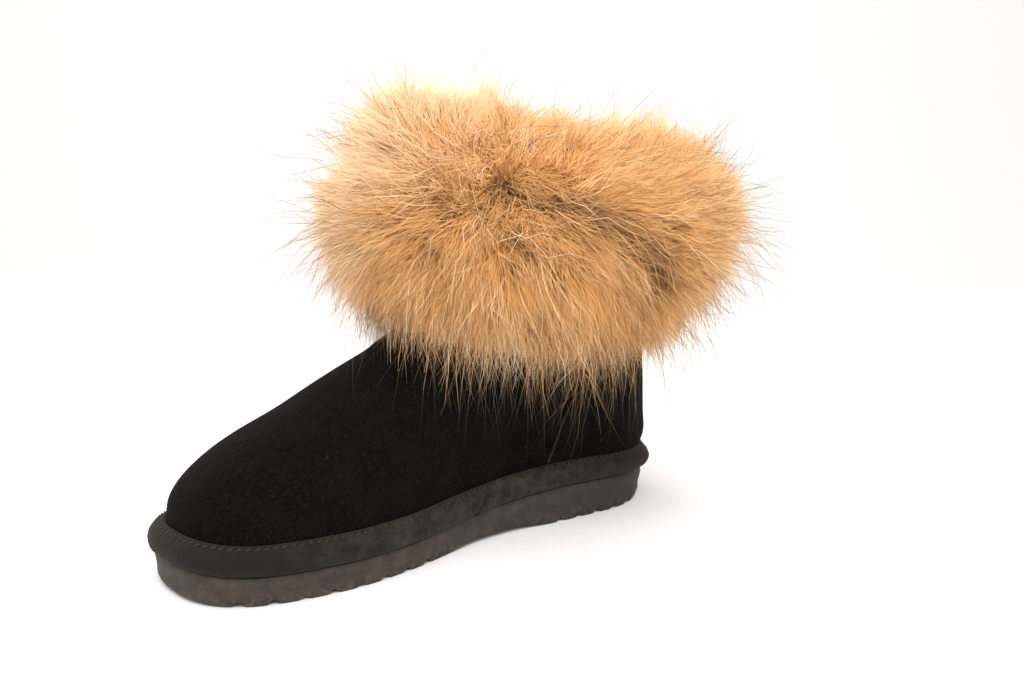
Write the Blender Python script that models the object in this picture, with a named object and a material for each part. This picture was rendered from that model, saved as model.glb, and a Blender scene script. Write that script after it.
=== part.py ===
"""Short sheepskin ankle boot for the right foot, with a deep fur cuff, standing empty on its sole.

Blender 4.5, metres, +Z up. The toe points towards -X and the inner side of the foot towards -Y.
The origin is on the floor, under the middle of the heel's seat, on the tread rib there.
Every ring of points round the boot starts at the back of the heel, runs forward along the inner
side to the tip of the toe, and comes back along the outer side.
"""

import math

import bmesh
import bpy
import numpy as np

# Driving dimensions
LENGTH = 0.262            # outsole, heel to toe
BALL_WIDTH = 0.0965       # outsole at the ball of the foot
HEEL_WIDTH = 0.0715       # outsole at the heel
HEEL_SEAT = 0.045         # back end of the outsole to the middle of the heel's seat
FOREFOOT_SOLE = 0.0118    # outsole thickness under the ball
HEEL_SOLE = 0.0178        # outsole thickness under the heel
TOE_SPRING = 0.0022       # lift of the outsole's tip off the floor
ARCH_LIFT = 0.0026        # lift of the outsole's underside at the waist
TOE_TAPER = 0.0016        # how far the outsole's side slopes in towards the floor at the toe
HEEL_TAPER = 0.0036       # and at the heel
BINDING_HEIGHT = 0.0112   # the strip that covers the seam of sole and upper
BINDING_BULGE = 0.0027    # how far the strip stands out past the outsole
HEEL_BULGE = 0.0018       # how much farther it stands out round the heel
BINDING_DEPTH = 0.0042    # how far the strip reaches in from the outsole's edge
HEEL_SHALLOW = 0.0016     # how much less it reaches in round the heel
COLLAR_HEIGHT = 0.150     # floor to the top edge of the shaft
SHAFT_WIDTH = 0.090       # shaft at the collar, side to side, outside
UPPER_WALL = 0.0028       # suede sheepskin with its backing, without the wool
INSOLE_THICKNESS = 0.005
INSOLE_EASE = 0.0004      # clearance of the insole's edge, over FIT_GAP
INSOLE_EDGE = 0.0015      # rounding of the insole's upper edge
SEAM_WIDTH = 0.0030       # the raised side seam of the heel panel
SEAM_RISE = 0.0009
SEAM_ROOT = 0.0010        # how deep the seam is joined into the upper's wall
RIB_PITCH = 0.0122        # transverse tread ribs
RIB_GROOVE_WIDTH = 0.0050
RIB_GROOVE_DEPTH = 0.0019
FUR_BAND_BOTTOM = 0.091   # lower edge of the pelt that is sewn round the shaft
FUR_FRONT_LIFT = 0.024    # how much higher that edge lies over the instep
FUR_BACK_LIFT = 0.016     # how much higher it lies round the heel
FUR_REACH = 0.052         # from the shaft to the face of the dense fur
FUR_RISE = 0.039          # dense fur above the collar
FUR_LEAN = 0.010          # how much higher its top is in front, and lower behind
FUR_DROP = 0.012          # dense fur below the pelt's lower edge
HEEL_TUCK = 0.013         # how much less the hanging fur reaches out behind
LOCK_LENGTH = 0.024       # locks of hair that stand out of the dense fur
LOCK_THICKNESS = 0.006    # ridge of a lock over the dense fur, half way along it
LOCK_VALLEY = 0.002       # depth of the gaps between locks
FIT_GAP = 0.0003          # clearance between pieces that meet
PELT_GAP = 0.0007         # clearance between the shaft and the pelt, which bends round it

AROUND = 56               # points round the upper and the sole
LEVELS = 14               # rings up the upper
LOCK_SEED = 7

# Outsole, from the back of the heel forward. along: share of LENGTH.
# width: share of the way from HEEL_WIDTH to BALL_WIDTH. centre: sideways shift of the middle
# line, + to the outer side, in shares of BALL_WIDTH.
SOLE_ROWS = {
    "along": (0.00, 0.16, 0.31, 0.42, 0.54, 0.65, 0.73, 0.85, 1.00),
    "width": (0.00, 0.00, -0.03, 0.02, 0.34, 0.80, 1.00, 1.00, 0.97),
    "centre": (0.000, 0.004, 0.018, 0.032, 0.030, 0.015, 0.008, -0.008, -0.050),
}
HEEL_ROUNDING = 0.165     # length of the rounded heel end, share of LENGTH
HEEL_POWER = 2.1
TOE_ROUNDING = 0.29       # length of the rounded toe end, share of LENGTH
TOE_POWER = 2.5

# The outsole's side, from the floor up. rise: share of the thickness there.
# inside: distance inside the outline, share of the taper there.
SOLE_SIDE = {
    "rise": (0.00, 0.12, 0.45, 0.86, 1.00),
    "inside": (1.00, 0.55, 0.36, 0.05, 0.32),
}

# The binding strip's section. rise: share of BINDING_HEIGHT. out: shares of BINDING_BULGE
# past the outline where positive, of BINDING_DEPTH inside it where negative.
BINDING_SECTION = {
    "rise": (0.00, 0.00, 0.16, 0.45, 0.72, 0.93, 1.00, 0.97),
    "out": (-1.00, 0.10, 0.80, 1.00, 0.82, 0.10, -0.55, -1.00),
}

# The upper's rings above the binding. front and back: where the ring meets the middle
# plane, share of LENGTH from the back of the heel. front_up and back_up: share of the way
# from the binding's top to the collar. oval: 0 is as wide as the sole, 1 as wide as the
# shaft. full: width against that. front_cap and back_cap: length of the rounded ends, share
# of LENGTH. power: 2 is round, more is boxier. follow: share of the sole's own rise.
UPPER_ROWS = {
    "front": (0.978, 0.956, 0.917, 0.866, 0.790, 0.695, 0.600, 0.525, 0.478, 0.458, 0.455),
    "front_up": (0.070, 0.126, 0.179, 0.228, 0.288, 0.370, 0.465, 0.576, 0.710, 0.850, 1.000),
    "back": (-0.004, -0.004, -0.002, -0.001, 0.001, 0.002, 0.004, 0.006, 0.008, 0.010, 0.011),
    "back_up": (0.085, 0.165, 0.240, 0.310, 0.385, 0.470, 0.565, 0.665, 0.775, 0.885, 1.000),
    "oval": (0.02, 0.06, 0.12, 0.20, 0.30, 0.45, 0.62, 0.78, 0.90, 0.97, 1.00),
    "full": (0.985, 0.985, 0.975, 0.965, 0.960, 0.965, 0.975, 0.985, 0.990, 1.00, 1.00),
    "front_cap": (0.31, 0.34, 0.38, 0.42, 0.45, 0.44, 0.40, 0.34, 0.28, 0.235, 0.222),
    "back_cap": (0.165, 0.165, 0.170, 0.175, 0.180, 0.185, 0.190, 0.197, 0.204, 0.209, 0.213),
    "power": (2.40, 2.30, 2.20, 2.10, 2.05, 2.00, 2.00, 2.00, 2.05, 2.10, 2.10),
    "follow": (0.70, 0.45, 0.25, 0.10, 0.00, 0.00, 0.00, 0.00, 0.00, 0.00, 0.00),
}

# The side seam of the heel panel, from the binding up. around: share of the way from the
# back of the heel to the tip of the toe. up: share of the rings from the binding's top.
SEAM_ROWS = {
    "around": (0.331, 0.327, 0.321, 0.316, 0.312),
    "up": (0.02, 0.10, 0.24, 0.40, 0.55),
}

# The dense fur's section, from the shaft's lower fur line, out and over the top, to the
# inner edge above the collar. out: share of FUR_REACH from the shaft. up: below 0 is shares
# of FUR_DROP under the pelt, 0 to 1 is pelt to collar, above 1 adds shares of FUR_RISE.
FUR_ROWS = {
    "out": (0.00, 0.25, 0.56, 0.84, 1.00, 0.96, 0.76, 0.48, 0.18, 0.00),
    "up": (-0.20, -0.85, -0.50, 0.10, 0.60, 1.08, 1.55, 1.88, 1.82, 1.25),
}

# Rows of locks that cover the dense fur. The hair parts half way up, so that the lower rows
# hang and the upper rows stand up. root and tip: places along the fur's section, 0 at its
# lower inner edge to 1 at its upper inner edge. steep: slope of the locks, down where
# negative. long: share of LOCK_LENGTH.
LOCK_ROWS = {
    "root": (0.22, 0.32, 0.42, 0.52, 0.54, 0.66, 0.78),
    "tip": (0.10, 0.22, 0.32, 0.42, 0.66, 0.78, 0.90),
    "steep": (-2.4, -1.6, -1.0, -0.5, 0.5, 1.1, 2.4),
    "long": (1.05, 0.90, 0.82, 0.78, 0.78, 0.82, 0.75),
}
LOCK_RIDGE = (0.00, 0.45, 1.00, 0.45)   # a lock's ridge over its four points round the cuff
LOCK_POINT = (0.00, 0.22, 1.00, 0.22)   # how far the same points run out to its tip

COLOURS = {
    "suede": ((0.012, 0.011, 0.010), 0.95),
    "binding": ((0.035, 0.033, 0.031), 0.85),
    "outsole": ((0.040, 0.037, 0.034), 0.75),
    "fleece": ((0.030, 0.028, 0.027), 1.00),
    "fur": ((0.62, 0.36, 0.15), 0.90),
}


def smooth_step(t):
    """0 below 0, 1 above 1, and a smooth rise between."""
    t = np.clip(t, 0.0, 1.0)
    return t * t * (3.0 - 2.0 * t)


def through(places, values, at):
    """A smooth curve through the rows of a table, read at the given places."""
    places, values = np.asarray(places, float), np.asarray(values, float)
    slopes = np.gradient(values, places)
    at = np.clip(np.asarray(at, float), places[0], places[-1])
    low = np.clip(np.searchsorted(places, at, side="right") - 1, 0, len(places) - 2)
    span = places[low + 1] - places[low]
    t = (at - places[low]) / span
    return (
        values[low] * (1 + 2 * t) * (1 - t) ** 2
        + slopes[low] * span * t * (1 - t) ** 2
        + values[low + 1] * t * t * (3 - 2 * t)
        + slopes[low + 1] * span * t * t * (t - 1)
    )


def rounded(share, length, power):
    """Height of a rounded end at this share of the way along, 0 at the tip and 1 past its length."""
    left = np.clip(1.0 - share / length, 0.0, 1.0)
    return (1.0 - left**power) ** (1.0 / power)


def x_at(along):
    """X of a share of the length, measured from the back of the heel."""
    return HEEL_SEAT - along * LENGTH


def along_at(x):
    """The share of the length at this X."""
    return (HEEL_SEAT - x) / LENGTH


def sole_half_width(along):
    """Half the outsole's width, without its rounded ends."""
    share = through(SOLE_ROWS["along"], SOLE_ROWS["width"], along)
    return (HEEL_WIDTH + (BALL_WIDTH - HEEL_WIDTH) * share) / 2


def sole_centre(along):
    """Y of the middle line of the foot."""
    return BALL_WIDTH * through(SOLE_ROWS["along"], SOLE_ROWS["centre"], along)


def spread_evenly(side, count):
    """Count points, evenly spaced, along an open row of points, without the last one."""
    run = np.concatenate([[0.0], np.cumsum(np.linalg.norm(np.diff(side, axis=0), axis=1))])
    places = np.linspace(0.0, run[-1], count + 1)[:-1]
    return np.stack([np.interp(places, run, side[:, k]) for k in range(side.shape[1])], axis=1)


def closed_ring(inner_side, outer_side, count):
    """One ring of points from a heel-to-toe row on the inner side and one on the outer side."""
    half = count // 2
    return np.concatenate(
        [spread_evenly(inner_side, half), spread_evenly(outer_side[::-1], half)]
    )


def sole_outline(count):
    """The outsole's outline as a ring of X and Y."""
    along = (1.0 - np.cos(np.linspace(0.0, math.pi, 361))) / 2
    half = (
        sole_half_width(along)
        * rounded(along, HEEL_ROUNDING, HEEL_POWER)
        * rounded(1.0 - along, TOE_ROUNDING, TOE_POWER)
    )
    centre = sole_centre(along)
    inner = np.stack([x_at(along), centre - half], axis=1)
    outer = np.stack([x_at(along), centre + half], axis=1)
    return closed_ring(inner, outer, count)


def outward(ring):
    """Unit vectors out of a ring, level with the floor."""
    run = np.roll(ring, -1, axis=0)[:, :2] - np.roll(ring, 1, axis=0)[:, :2]
    out = np.stack([-run[:, 1], run[:, 0]], axis=1)
    middle = ring[:, :2].mean(axis=0)
    if ((ring[:, :2] - middle) * out).sum() < 0:
        out = -out
    return out / np.linalg.norm(out, axis=1, keepdims=True)


def moved_out(outline, distance):
    """The outline moved out by a distance, or in where that is negative."""
    return outline + outward(outline) * distance


def toe_lift(along):
    """How far the outsole's underside curves up towards the toe."""
    return TOE_SPRING * np.clip((along - 0.90) / 0.10, 0.0, 1.0) ** 2


def sole_under(along):
    """Height of the outsole's underside off the floor: the arch at the waist and the toe spring."""
    arch = smooth_step((along - 0.30) / 0.10) * smooth_step((0.58 - along) / 0.10)
    return ARCH_LIFT * arch + toe_lift(along)


def sole_top(along):
    """Height of the outsole's upper face."""
    rise = smooth_step((0.66 - along) / 0.40)
    return FOREFOOT_SOLE + (HEEL_SOLE - FOREFOOT_SOLE) * rise + toe_lift(along)


def with_height(ring, height):
    """A ring of X and Y given a height, one number or one for each point."""
    return np.column_stack([ring, np.broadcast_to(height, len(ring))])


def heel_share(along):
    """1 at the back of the heel, 0 from the waist forward."""
    return smooth_step((0.30 - along) / 0.30)


def sole_ring(outline, rise, inside):
    """A ring up the outsole's side."""
    along = along_at(outline[:, 0])
    low, high = sole_under(along), sole_top(along)
    taper = TOE_TAPER + (HEEL_TAPER - TOE_TAPER) * heel_share(along)
    return with_height(moved_out(outline, -inside * taper[:, None]), low + (high - low) * rise)


def binding_depth(along):
    """How far the binding reaches in from the outsole's edge."""
    return BINDING_DEPTH - HEEL_SHALLOW * heel_share(along)


def upper_base_ring(outline, height):
    """A ring of the upper inside the binding, at a height over the outsole."""
    depth = binding_depth(along_at(outline[:, 0]))[:, None]
    ring = moved_out(outline, -depth - FIT_GAP)
    return with_height(ring, sole_top(along_at(ring[:, 0])) + height)


def upper_row(row):
    """The values of one row of UPPER_ROWS, read smoothly between rows."""
    rows = np.arange(len(UPPER_ROWS["front"]))
    return {name: float(through(rows, values, row)) for name, values in UPPER_ROWS.items()}


def upper_ring(row, count):
    """A ring of the upper above the binding: a chord from the back of the boot to its front,
    as wide as the sole or the shaft there, with rounded ends."""
    value = upper_row(row)
    along_chord = (1.0 - np.cos(np.linspace(0.0, math.pi, 241))) / 2
    along = value["back"] + (value["front"] - value["back"]) * along_chord
    foot = sole_half_width(along) - binding_depth(along) - FIT_GAP
    half = foot + (SHAFT_WIDTH / 2 - foot) * value["oval"]
    span = value["front"] - value["back"]
    half = (
        half
        * value["full"]
        * rounded(along_chord * span, value["back_cap"], value["power"])
        * rounded((1.0 - along_chord) * span, value["front_cap"], value["power"])
    )
    middle = sole_centre(along) * (1.0 - value["oval"])
    start = HEEL_SOLE + BINDING_HEIGHT
    level = value["back_up"] + (value["front_up"] - value["back_up"]) * along_chord
    height = start + (COLLAR_HEIGHT - start) * level
    height = height + (sole_top(along) - HEEL_SOLE) * value["follow"]
    x = x_at(along)
    return closed_ring(
        np.column_stack([x, middle - half, height]),
        np.column_stack([x, middle + half, height]),
        count,
    )


def control_rings(count):
    """The rings that the upper is drawn through, from the outsole's top to the collar."""
    outline = sole_outline(count)
    rows = len(UPPER_ROWS["front"])
    rings = [
        upper_base_ring(outline, FIT_GAP),
        upper_base_ring(outline, BINDING_HEIGHT * 0.55),
        upper_base_ring(outline, BINDING_HEIGHT + FIT_GAP),
    ]
    return np.array(rings + [upper_ring(row, count) for row in range(rows)])


def rings_through(rings, at):
    """Rings read smoothly between the control rings, at the given row numbers."""
    rows = np.arange(len(rings))
    flat = rings.reshape(len(rings), -1)
    made = np.stack([through(rows, flat[:, k], at) for k in range(flat.shape[1])], axis=1)
    return made.reshape(len(at), *rings.shape[1:])


def grid_normals(rings):
    """Outward unit normals of a stack of rings, from the bottom up."""
    run = np.roll(rings, -1, axis=1) - np.roll(rings, 1, axis=1)
    rise = np.gradient(rings, axis=0)
    normal = np.cross(rise, run)
    normal /= np.linalg.norm(normal, axis=2, keepdims=True)
    middle = rings.mean(axis=1, keepdims=True)
    if ((rings - middle) * normal).sum() < 0:
        normal = -normal
    return normal


def shaft_outline(count):
    """The shaft's outline at the collar, as a ring of X and Y."""
    return upper_ring(len(UPPER_ROWS["front"]) - 1, count)[:, :2]


def upper_levels():
    """Row numbers of the upper's rings: closer at the binding, even above it."""
    last = len(UPPER_ROWS["front"]) + 2
    return np.concatenate([[0.0, 1.0, 2.0], np.linspace(2.0, last, LEVELS - 2)[1:]])


def wall_at(heights):
    """The upper's outer faces at a height for each point round them, as a ring of X and Y."""
    rings = rings_through(control_rings(AROUND), upper_levels())
    found = []
    for k, height in enumerate(np.minimum(heights, COLLAR_HEIGHT)):
        rise = np.maximum.accumulate(rings[:, k, 2])
        found.append([np.interp(height, rise, rings[:, k, axis]) for axis in (0, 1)])
    return np.array(found)


def finish_mesh(name, bm, colour):
    """Puts a bmesh into a new object with its material, faces out and shaded smooth."""
    bmesh.ops.recalc_face_normals(bm, faces=bm.faces[:])
    mesh = bpy.data.meshes.new(name)
    bm.to_mesh(mesh)
    bm.free()
    mesh.shade_smooth()
    mesh.set_sharp_from_angle(angle=math.radians(40))
    obj = bpy.data.objects.new(name, mesh)
    bpy.context.scene.collection.objects.link(obj)
    mesh.materials.append(material(colour))
    return obj


def material(name):
    """The Principled material of one finish, made once."""
    found = bpy.data.materials.get(name)
    if found:
        return found
    colour, roughness = COLOURS[name]
    made = bpy.data.materials.new(name)
    made.use_nodes = True
    shader = made.node_tree.nodes["Principled BSDF"]
    shader.inputs["Base Color"].default_value = (*colour, 1.0)
    shader.inputs["Roughness"].default_value = roughness
    return made


def add_rings(bm, rings):
    """Vertices of each ring, with faces between neighbouring rings."""
    made = [[bm.verts.new(point) for point in ring] for ring in rings]
    for low, high in zip(made, made[1:]):
        for k in range(len(low)):
            after = (k + 1) % len(low)
            bm.faces.new((low[k], low[after], high[after], high[k]))
    return made


def add_cap(bm, ring):
    """Fills a ring with strips from its inner side to its outer side."""
    count = len(ring)
    half = count // 2
    bm.faces.new((ring[0], ring[1], ring[count - 1]))
    for k in range(1, half - 1):
        bm.faces.new((ring[k], ring[k + 1], ring[count - k - 1], ring[count - k]))
    bm.faces.new((ring[half - 1], ring[half], ring[half + 1]))


def join_ends(bm, first, last):
    """Faces between two rings of the same number of points."""
    for k in range(len(first)):
        after = (k + 1) % len(first)
        bm.faces.new((first[k], first[after], last[after], last[k]))


def apply_boolean(obj, other, operation):
    """Joins or cuts obj with other, which is then removed."""
    modifier = obj.modifiers.new(operation.title(), "BOOLEAN")
    modifier.operation = operation
    modifier.object = other
    modifier.solver = "EXACT"
    modifier.use_self = operation == "UNION"
    bpy.context.view_layer.update()
    graph = bpy.context.evaluated_depsgraph_get()
    result = bpy.data.meshes.new_from_object(obj.evaluated_get(graph))
    obj.modifiers.clear()
    obj.data = result
    bpy.data.objects.remove(other)


def rib_places():
    """Share of the length at each tread groove: whole pitches from the heel rib at the origin."""
    places = []
    for step in range(-3, int(LENGTH / RIB_PITCH)):
        along = along_at(-(step + 0.5) * RIB_PITCH)
        if 0.02 < along < 0.30 or 0.575 < along < 0.975:
            places.append(along)
    return places


def make_outsole():
    """The foam outsole: rings up its side, closed below and above, with grooves across."""
    outline = sole_outline(AROUND)
    bm = bmesh.new()
    rings = [sole_ring(outline, rise, inside) for rise, inside in zip(*SOLE_SIDE.values())]
    made = add_rings(bm, rings)
    add_cap(bm, made[0])
    add_cap(bm, made[-1])
    sole = finish_mesh("outsole", bm, "outsole")
    apply_boolean(sole, make_groove_cutter(), "DIFFERENCE")
    return sole


def make_groove_cutter():
    """Round-bottomed bars across the tread, one for each groove."""
    bm = bmesh.new()
    across = BALL_WIDTH
    for along in rib_places():
        x, low = x_at(along), float(sole_under(along))
        turns = np.linspace(0.0, math.pi, 5)
        section = [(x + math.cos(t) * RIB_GROOVE_WIDTH / 2, low + math.sin(t) * RIB_GROOVE_DEPTH)
                   for t in turns]
        section += [(x - RIB_GROOVE_WIDTH / 2, low - RIB_GROOVE_DEPTH),
                    (x + RIB_GROOVE_WIDTH / 2, low - RIB_GROOVE_DEPTH)]
        ends = [[bm.verts.new((px, y, pz)) for px, pz in section] for y in (-across, across)]
        join_ends(bm, ends[0], ends[1])
        bm.faces.new(ends[0])
        bm.faces.new(ends[1])
    return finish_mesh("groove_cutter", bm, "outsole")


def make_binding():
    """The binding strip: one section carried round the outline, on the outsole's edge."""
    outline = sole_outline(AROUND)
    top = sole_top(along_at(outline[:, 0]))
    bm = bmesh.new()
    rings = []
    along = along_at(outline[:, 0])
    bulge = BINDING_BULGE + HEEL_BULGE * heel_share(along)
    for rise, out in zip(BINDING_SECTION["rise"], BINDING_SECTION["out"]):
        distance = out * (bulge if out > 0 else binding_depth(along))[:, None]
        rings.append(with_height(moved_out(outline, distance), top + FIT_GAP + rise * BINDING_HEIGHT))
    made = add_rings(bm, rings)
    join_ends(bm, made[-1], made[0])
    return finish_mesh("binding", bm, "binding")


def make_upper():
    """The hollow upper: outer rings, the same rings moved in by the wall, and a rim at each end."""
    outer = rings_through(control_rings(AROUND), upper_levels())
    inner = outer - grid_normals(outer) * UPPER_WALL
    inner[0, :, 2] = outer[0, :, 2]
    inner[-1, :, 2] = outer[-1, :, 2]
    bm = bmesh.new()
    outside = add_rings(bm, outer)
    inside = add_rings(bm, inner)
    join_ends(bm, outside[0], inside[0])
    join_ends(bm, outside[-1], inside[-1])
    upper = finish_mesh("upper", bm, "suede")
    for side in (-1, 1):
        apply_boolean(upper, make_side_seam(side), "UNION")
    return upper


def make_side_seam(side):
    """A raised seam on the upper's own face, from the binding up under the fur."""
    rings = rings_through(control_rings(AROUND * 2), np.linspace(2, len(UPPER_ROWS["front"]) + 2, 60))
    normals = grid_normals(rings)
    steps = np.linspace(0.0, 1.0, 14)
    places = np.linspace(0.0, 1.0, len(SEAM_ROWS["up"]))
    up = through(places, SEAM_ROWS["up"], steps) * (len(rings) - 1)
    around = through(places, SEAM_ROWS["around"], steps) * AROUND
    if side > 0:
        around = 2 * AROUND - around
    centre = np.array([surface_point(rings, u, a) for u, a in zip(up, around)])
    out = np.array([surface_point(normals, u, a) for u, a in zip(up, around)])
    out /= np.linalg.norm(out, axis=1, keepdims=True)
    run = np.gradient(centre, axis=0)
    across = np.cross(run, out)
    across /= np.linalg.norm(across, axis=1, keepdims=True)
    section = ((-0.50, -SEAM_ROOT), (-0.42, SEAM_RISE * 0.6), (0.0, SEAM_RISE),
               (0.42, SEAM_RISE * 0.6), (0.50, -SEAM_ROOT))
    bm = bmesh.new()
    bars = [[bm.verts.new(c + a * w * SEAM_WIDTH + o * h) for w, h in section]
            for c, a, o in zip(centre, across, out)]
    for low, high in zip(bars, bars[1:]):
        join_ends(bm, low, high)
    bm.faces.new(bars[0])
    bm.faces.new(bars[-1])
    return finish_mesh("side_seam", bm, "suede")


def surface_point(grid, up, around):
    """A grid of rings read between its rings and between its points."""
    u0, a0 = int(min(up, len(grid) - 2)), int(around) % grid.shape[1]
    a1 = (a0 + 1) % grid.shape[1]
    du, da = up - u0, around - int(around)
    low = grid[u0, a0] * (1 - da) + grid[u0, a1] * da
    high = grid[u0 + 1, a0] * (1 - da) + grid[u0 + 1, a1] * da
    return low * (1 - du) + high * du


def make_insole():
    """The fleece insole that lies in the upper on the outsole."""
    outline = sole_outline(AROUND)
    inset = BINDING_DEPTH + UPPER_WALL + 2 * FIT_GAP + INSOLE_EASE
    ring = moved_out(outline, -inset)
    low = sole_top(along_at(ring[:, 0])) + FIT_GAP
    bm = bmesh.new()
    edge = moved_out(outline, -inset - INSOLE_EDGE)
    made = add_rings(bm, [
        with_height(ring, low),
        with_height(ring, low + INSOLE_THICKNESS * 0.7),
        with_height(edge, low + INSOLE_THICKNESS),
    ])
    add_cap(bm, made[0])
    add_cap(bm, made[-1])
    return finish_mesh("insole", bm, "fleece")


def fur_height(up):
    """Heights round a share up the fur's section. The lower edge is higher in front and behind."""
    ahead = -outward(shaft_outline(AROUND))[:, 0]
    bottom = FUR_BAND_BOTTOM + FUR_FRONT_LIFT * smooth_step(ahead)
    bottom += FUR_BACK_LIFT * smooth_step(-ahead)
    below = min(up, 0.0) * FUR_DROP
    above = max(up - 1.0, 0.0) * (FUR_RISE + FUR_LEAN * ahead)
    return bottom + min(max(up, 0.0), 1.0) * (COLLAR_HEIGHT - bottom) + below + above


def heelward():
    """Round the shaft, 1 where it faces the heel, 0 from its sides forward."""
    return smooth_step(outward(shaft_outline(AROUND))[:, 0])


def fur_ring(place):
    """A ring of the dense fur's face, at a place along its section from 0 to 1."""
    places = np.linspace(0.0, 1.0, len(FUR_ROWS["out"]))
    out = float(through(places, FUR_ROWS["out"], place))
    up = float(through(places, FUR_ROWS["up"], place))
    heights = fur_height(up)
    tuck = HEEL_TUCK * heelward() * smooth_step((0.62 - place) / 0.35)
    reach = PELT_GAP + out * (FUR_REACH - tuck)
    return with_height(moved_out(wall_at(heights), reach[:, None]), heights)


def doubled(ring):
    """The ring with a point between each two, on a smooth curve through them."""
    after = np.roll(ring, -1, axis=0)
    between = (9 * (ring + after) - np.roll(ring, 1, axis=0) - np.roll(ring, -2, axis=0)) / 16
    return np.stack([ring, between], axis=1).reshape(-1, ring.shape[1])


def fur_normals(place):
    """Unit vectors out of the dense fur's face, round the ring at a place."""
    ring = doubled(fur_ring(place))
    rise = doubled(fur_ring(min(place + 0.03, 1.0)) - fur_ring(max(place - 0.03, 0.0)))
    run = np.roll(ring, -1, axis=0) - np.roll(ring, 1, axis=0)
    normal = np.cross(rise, run)
    return normal / np.linalg.norm(normal, axis=1, keepdims=True)


def lock_rings(number, root, tip, steep, long, rng):
    """Three rings of one row of locks: its roots, the ridges half way, and the tips."""
    points = 2 * AROUND
    place = (np.arange(points) + 2 * (number % 2)) % 4
    lock = (np.arange(points) + 2 * (number % 2)) // 4 % (points // 4)
    length = (LOCK_LENGTH * long * rng.uniform(0.75, 1.2, points // 4))[lock]
    sway = rng.uniform(-0.4, 0.4, points // 4)[lock]
    roots, halves, tips = (doubled(fur_ring(at)) for at in (root, (root + tip) / 2, tip))
    out = outward(tips)
    along = np.stack([-out[:, 1], out[:, 0]], axis=1)
    slope = np.full(points, steep)
    if steep < 0:
        over_instep = smooth_step(0.1 - out[:, 0])
        slope *= 1.0 - 0.9 * over_instep
        length = length * (1.0 - 0.4 * over_instep - 0.5 * smooth_step(out[:, 0]))
    lean = np.column_stack([out + along * sway[:, None], slope])
    lean /= np.linalg.norm(lean, axis=1, keepdims=True)
    ridge, point = np.array(LOCK_RIDGE)[place], np.array(LOCK_POINT)[place]
    lift = ridge * LOCK_THICKNESS - (1.0 - ridge) * LOCK_VALLEY
    halves = halves + fur_normals((root + tip) / 2) * lift[:, None]
    halves = halves + lean * (ridge * length * 0.22)[:, None]
    tips = tips + lean * (point * length)[:, None]
    return [roots, halves, tips] if tip > root else [tips, halves, roots]


def make_fur_cuff():
    """The fur cuff: a ring of fur round the shaft, covered with rows of locks."""
    rng = np.random.default_rng(LOCK_SEED)
    bm = bmesh.new()
    outer = []
    for number, row in enumerate(zip(*LOCK_ROWS.values())):
        outer += lock_rings(number, *row, rng)
    low, high = fur_ring(0.0), fur_ring(1.0)
    inner = []
    for share in np.linspace(1.0, 0.0, 8):
        heights = low[:, 2] + (high[:, 2] - low[:, 2]) * share
        inner.append(with_height(moved_out(wall_at(heights), PELT_GAP), heights))
    outside = add_rings(bm, outer)
    inside = add_rings(bm, inner)
    join_to_doubled(bm, inside[-1], outside[0])
    join_to_doubled(bm, inside[0], outside[-1])
    return finish_mesh("fur_cuff", bm, "fur")


def join_to_doubled(bm, ring, fine):
    """Faces between a ring and one with twice as many points."""
    count = len(ring)
    for k in range(count):
        after = (k + 1) % count
        middle, last = fine[2 * k + 1], fine[(2 * k + 2) % (2 * count)]
        bm.faces.new((ring[k], fine[2 * k], middle))
        bm.faces.new((ring[k], middle, ring[after]))
        bm.faces.new((ring[after], middle, last))


def main():
    for obj in list(bpy.data.objects):
        bpy.data.objects.remove(obj)
    make_outsole()
    make_binding()
    make_upper()
    make_insole()
    make_fur_cuff()


main()
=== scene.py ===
"""Visual model of a short sheepskin ankle boot with a deep fur cuff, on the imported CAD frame.

The frame's axes hold here: metres, +Z up, the toe towards -X, the inner side of the foot towards
-Y, and the origin on the floor under the middle of the heel's seat. Rings round the boot start at
the back of the heel, run forward along the inner side to the toe, and come back along the outer
side, as in the CAD source.
"""

import logging
import math
from collections.abc import Callable
from dataclasses import dataclass, field
from enum import Enum

import bpy
import numpy as np
from mathutils import Matrix

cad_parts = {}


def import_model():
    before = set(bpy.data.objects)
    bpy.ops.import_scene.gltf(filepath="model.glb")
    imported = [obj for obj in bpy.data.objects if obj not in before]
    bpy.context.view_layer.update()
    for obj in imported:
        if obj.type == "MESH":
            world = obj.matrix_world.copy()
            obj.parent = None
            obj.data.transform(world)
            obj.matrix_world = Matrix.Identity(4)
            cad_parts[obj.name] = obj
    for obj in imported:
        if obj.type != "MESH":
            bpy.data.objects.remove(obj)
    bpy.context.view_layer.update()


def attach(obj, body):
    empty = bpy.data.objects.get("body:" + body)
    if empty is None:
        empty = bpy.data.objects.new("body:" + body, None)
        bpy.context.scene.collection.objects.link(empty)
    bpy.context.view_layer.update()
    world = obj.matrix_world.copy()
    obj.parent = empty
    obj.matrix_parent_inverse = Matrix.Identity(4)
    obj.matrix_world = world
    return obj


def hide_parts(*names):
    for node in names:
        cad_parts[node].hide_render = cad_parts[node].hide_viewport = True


log = logging.getLogger("boot")

BODY = "root"
Array = np.ndarray
# settings that make a node mix colours, and multiply and then add
RGBA = {"data_type": "RGBA"}
MULTIPLY_ADD = {"operation": "MULTIPLY_ADD"}

# Outsole rows, from the back of the heel forward. along: share of the length. width: share of
# the way from the heel's width to the ball's. centre: shift of the middle line to the outer
# side, in shares of the ball's width.
SOLE_ROWS = {
    "along": (0.00, 0.16, 0.31, 0.42, 0.54, 0.65, 0.73, 0.85, 1.00),
    "width": (0.00, 0.00, -0.03, 0.02, 0.34, 0.80, 1.00, 1.00, 0.97),
    "centre": (0.000, 0.004, 0.018, 0.032, 0.030, 0.015, 0.008, -0.008, -0.050),
}

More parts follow.
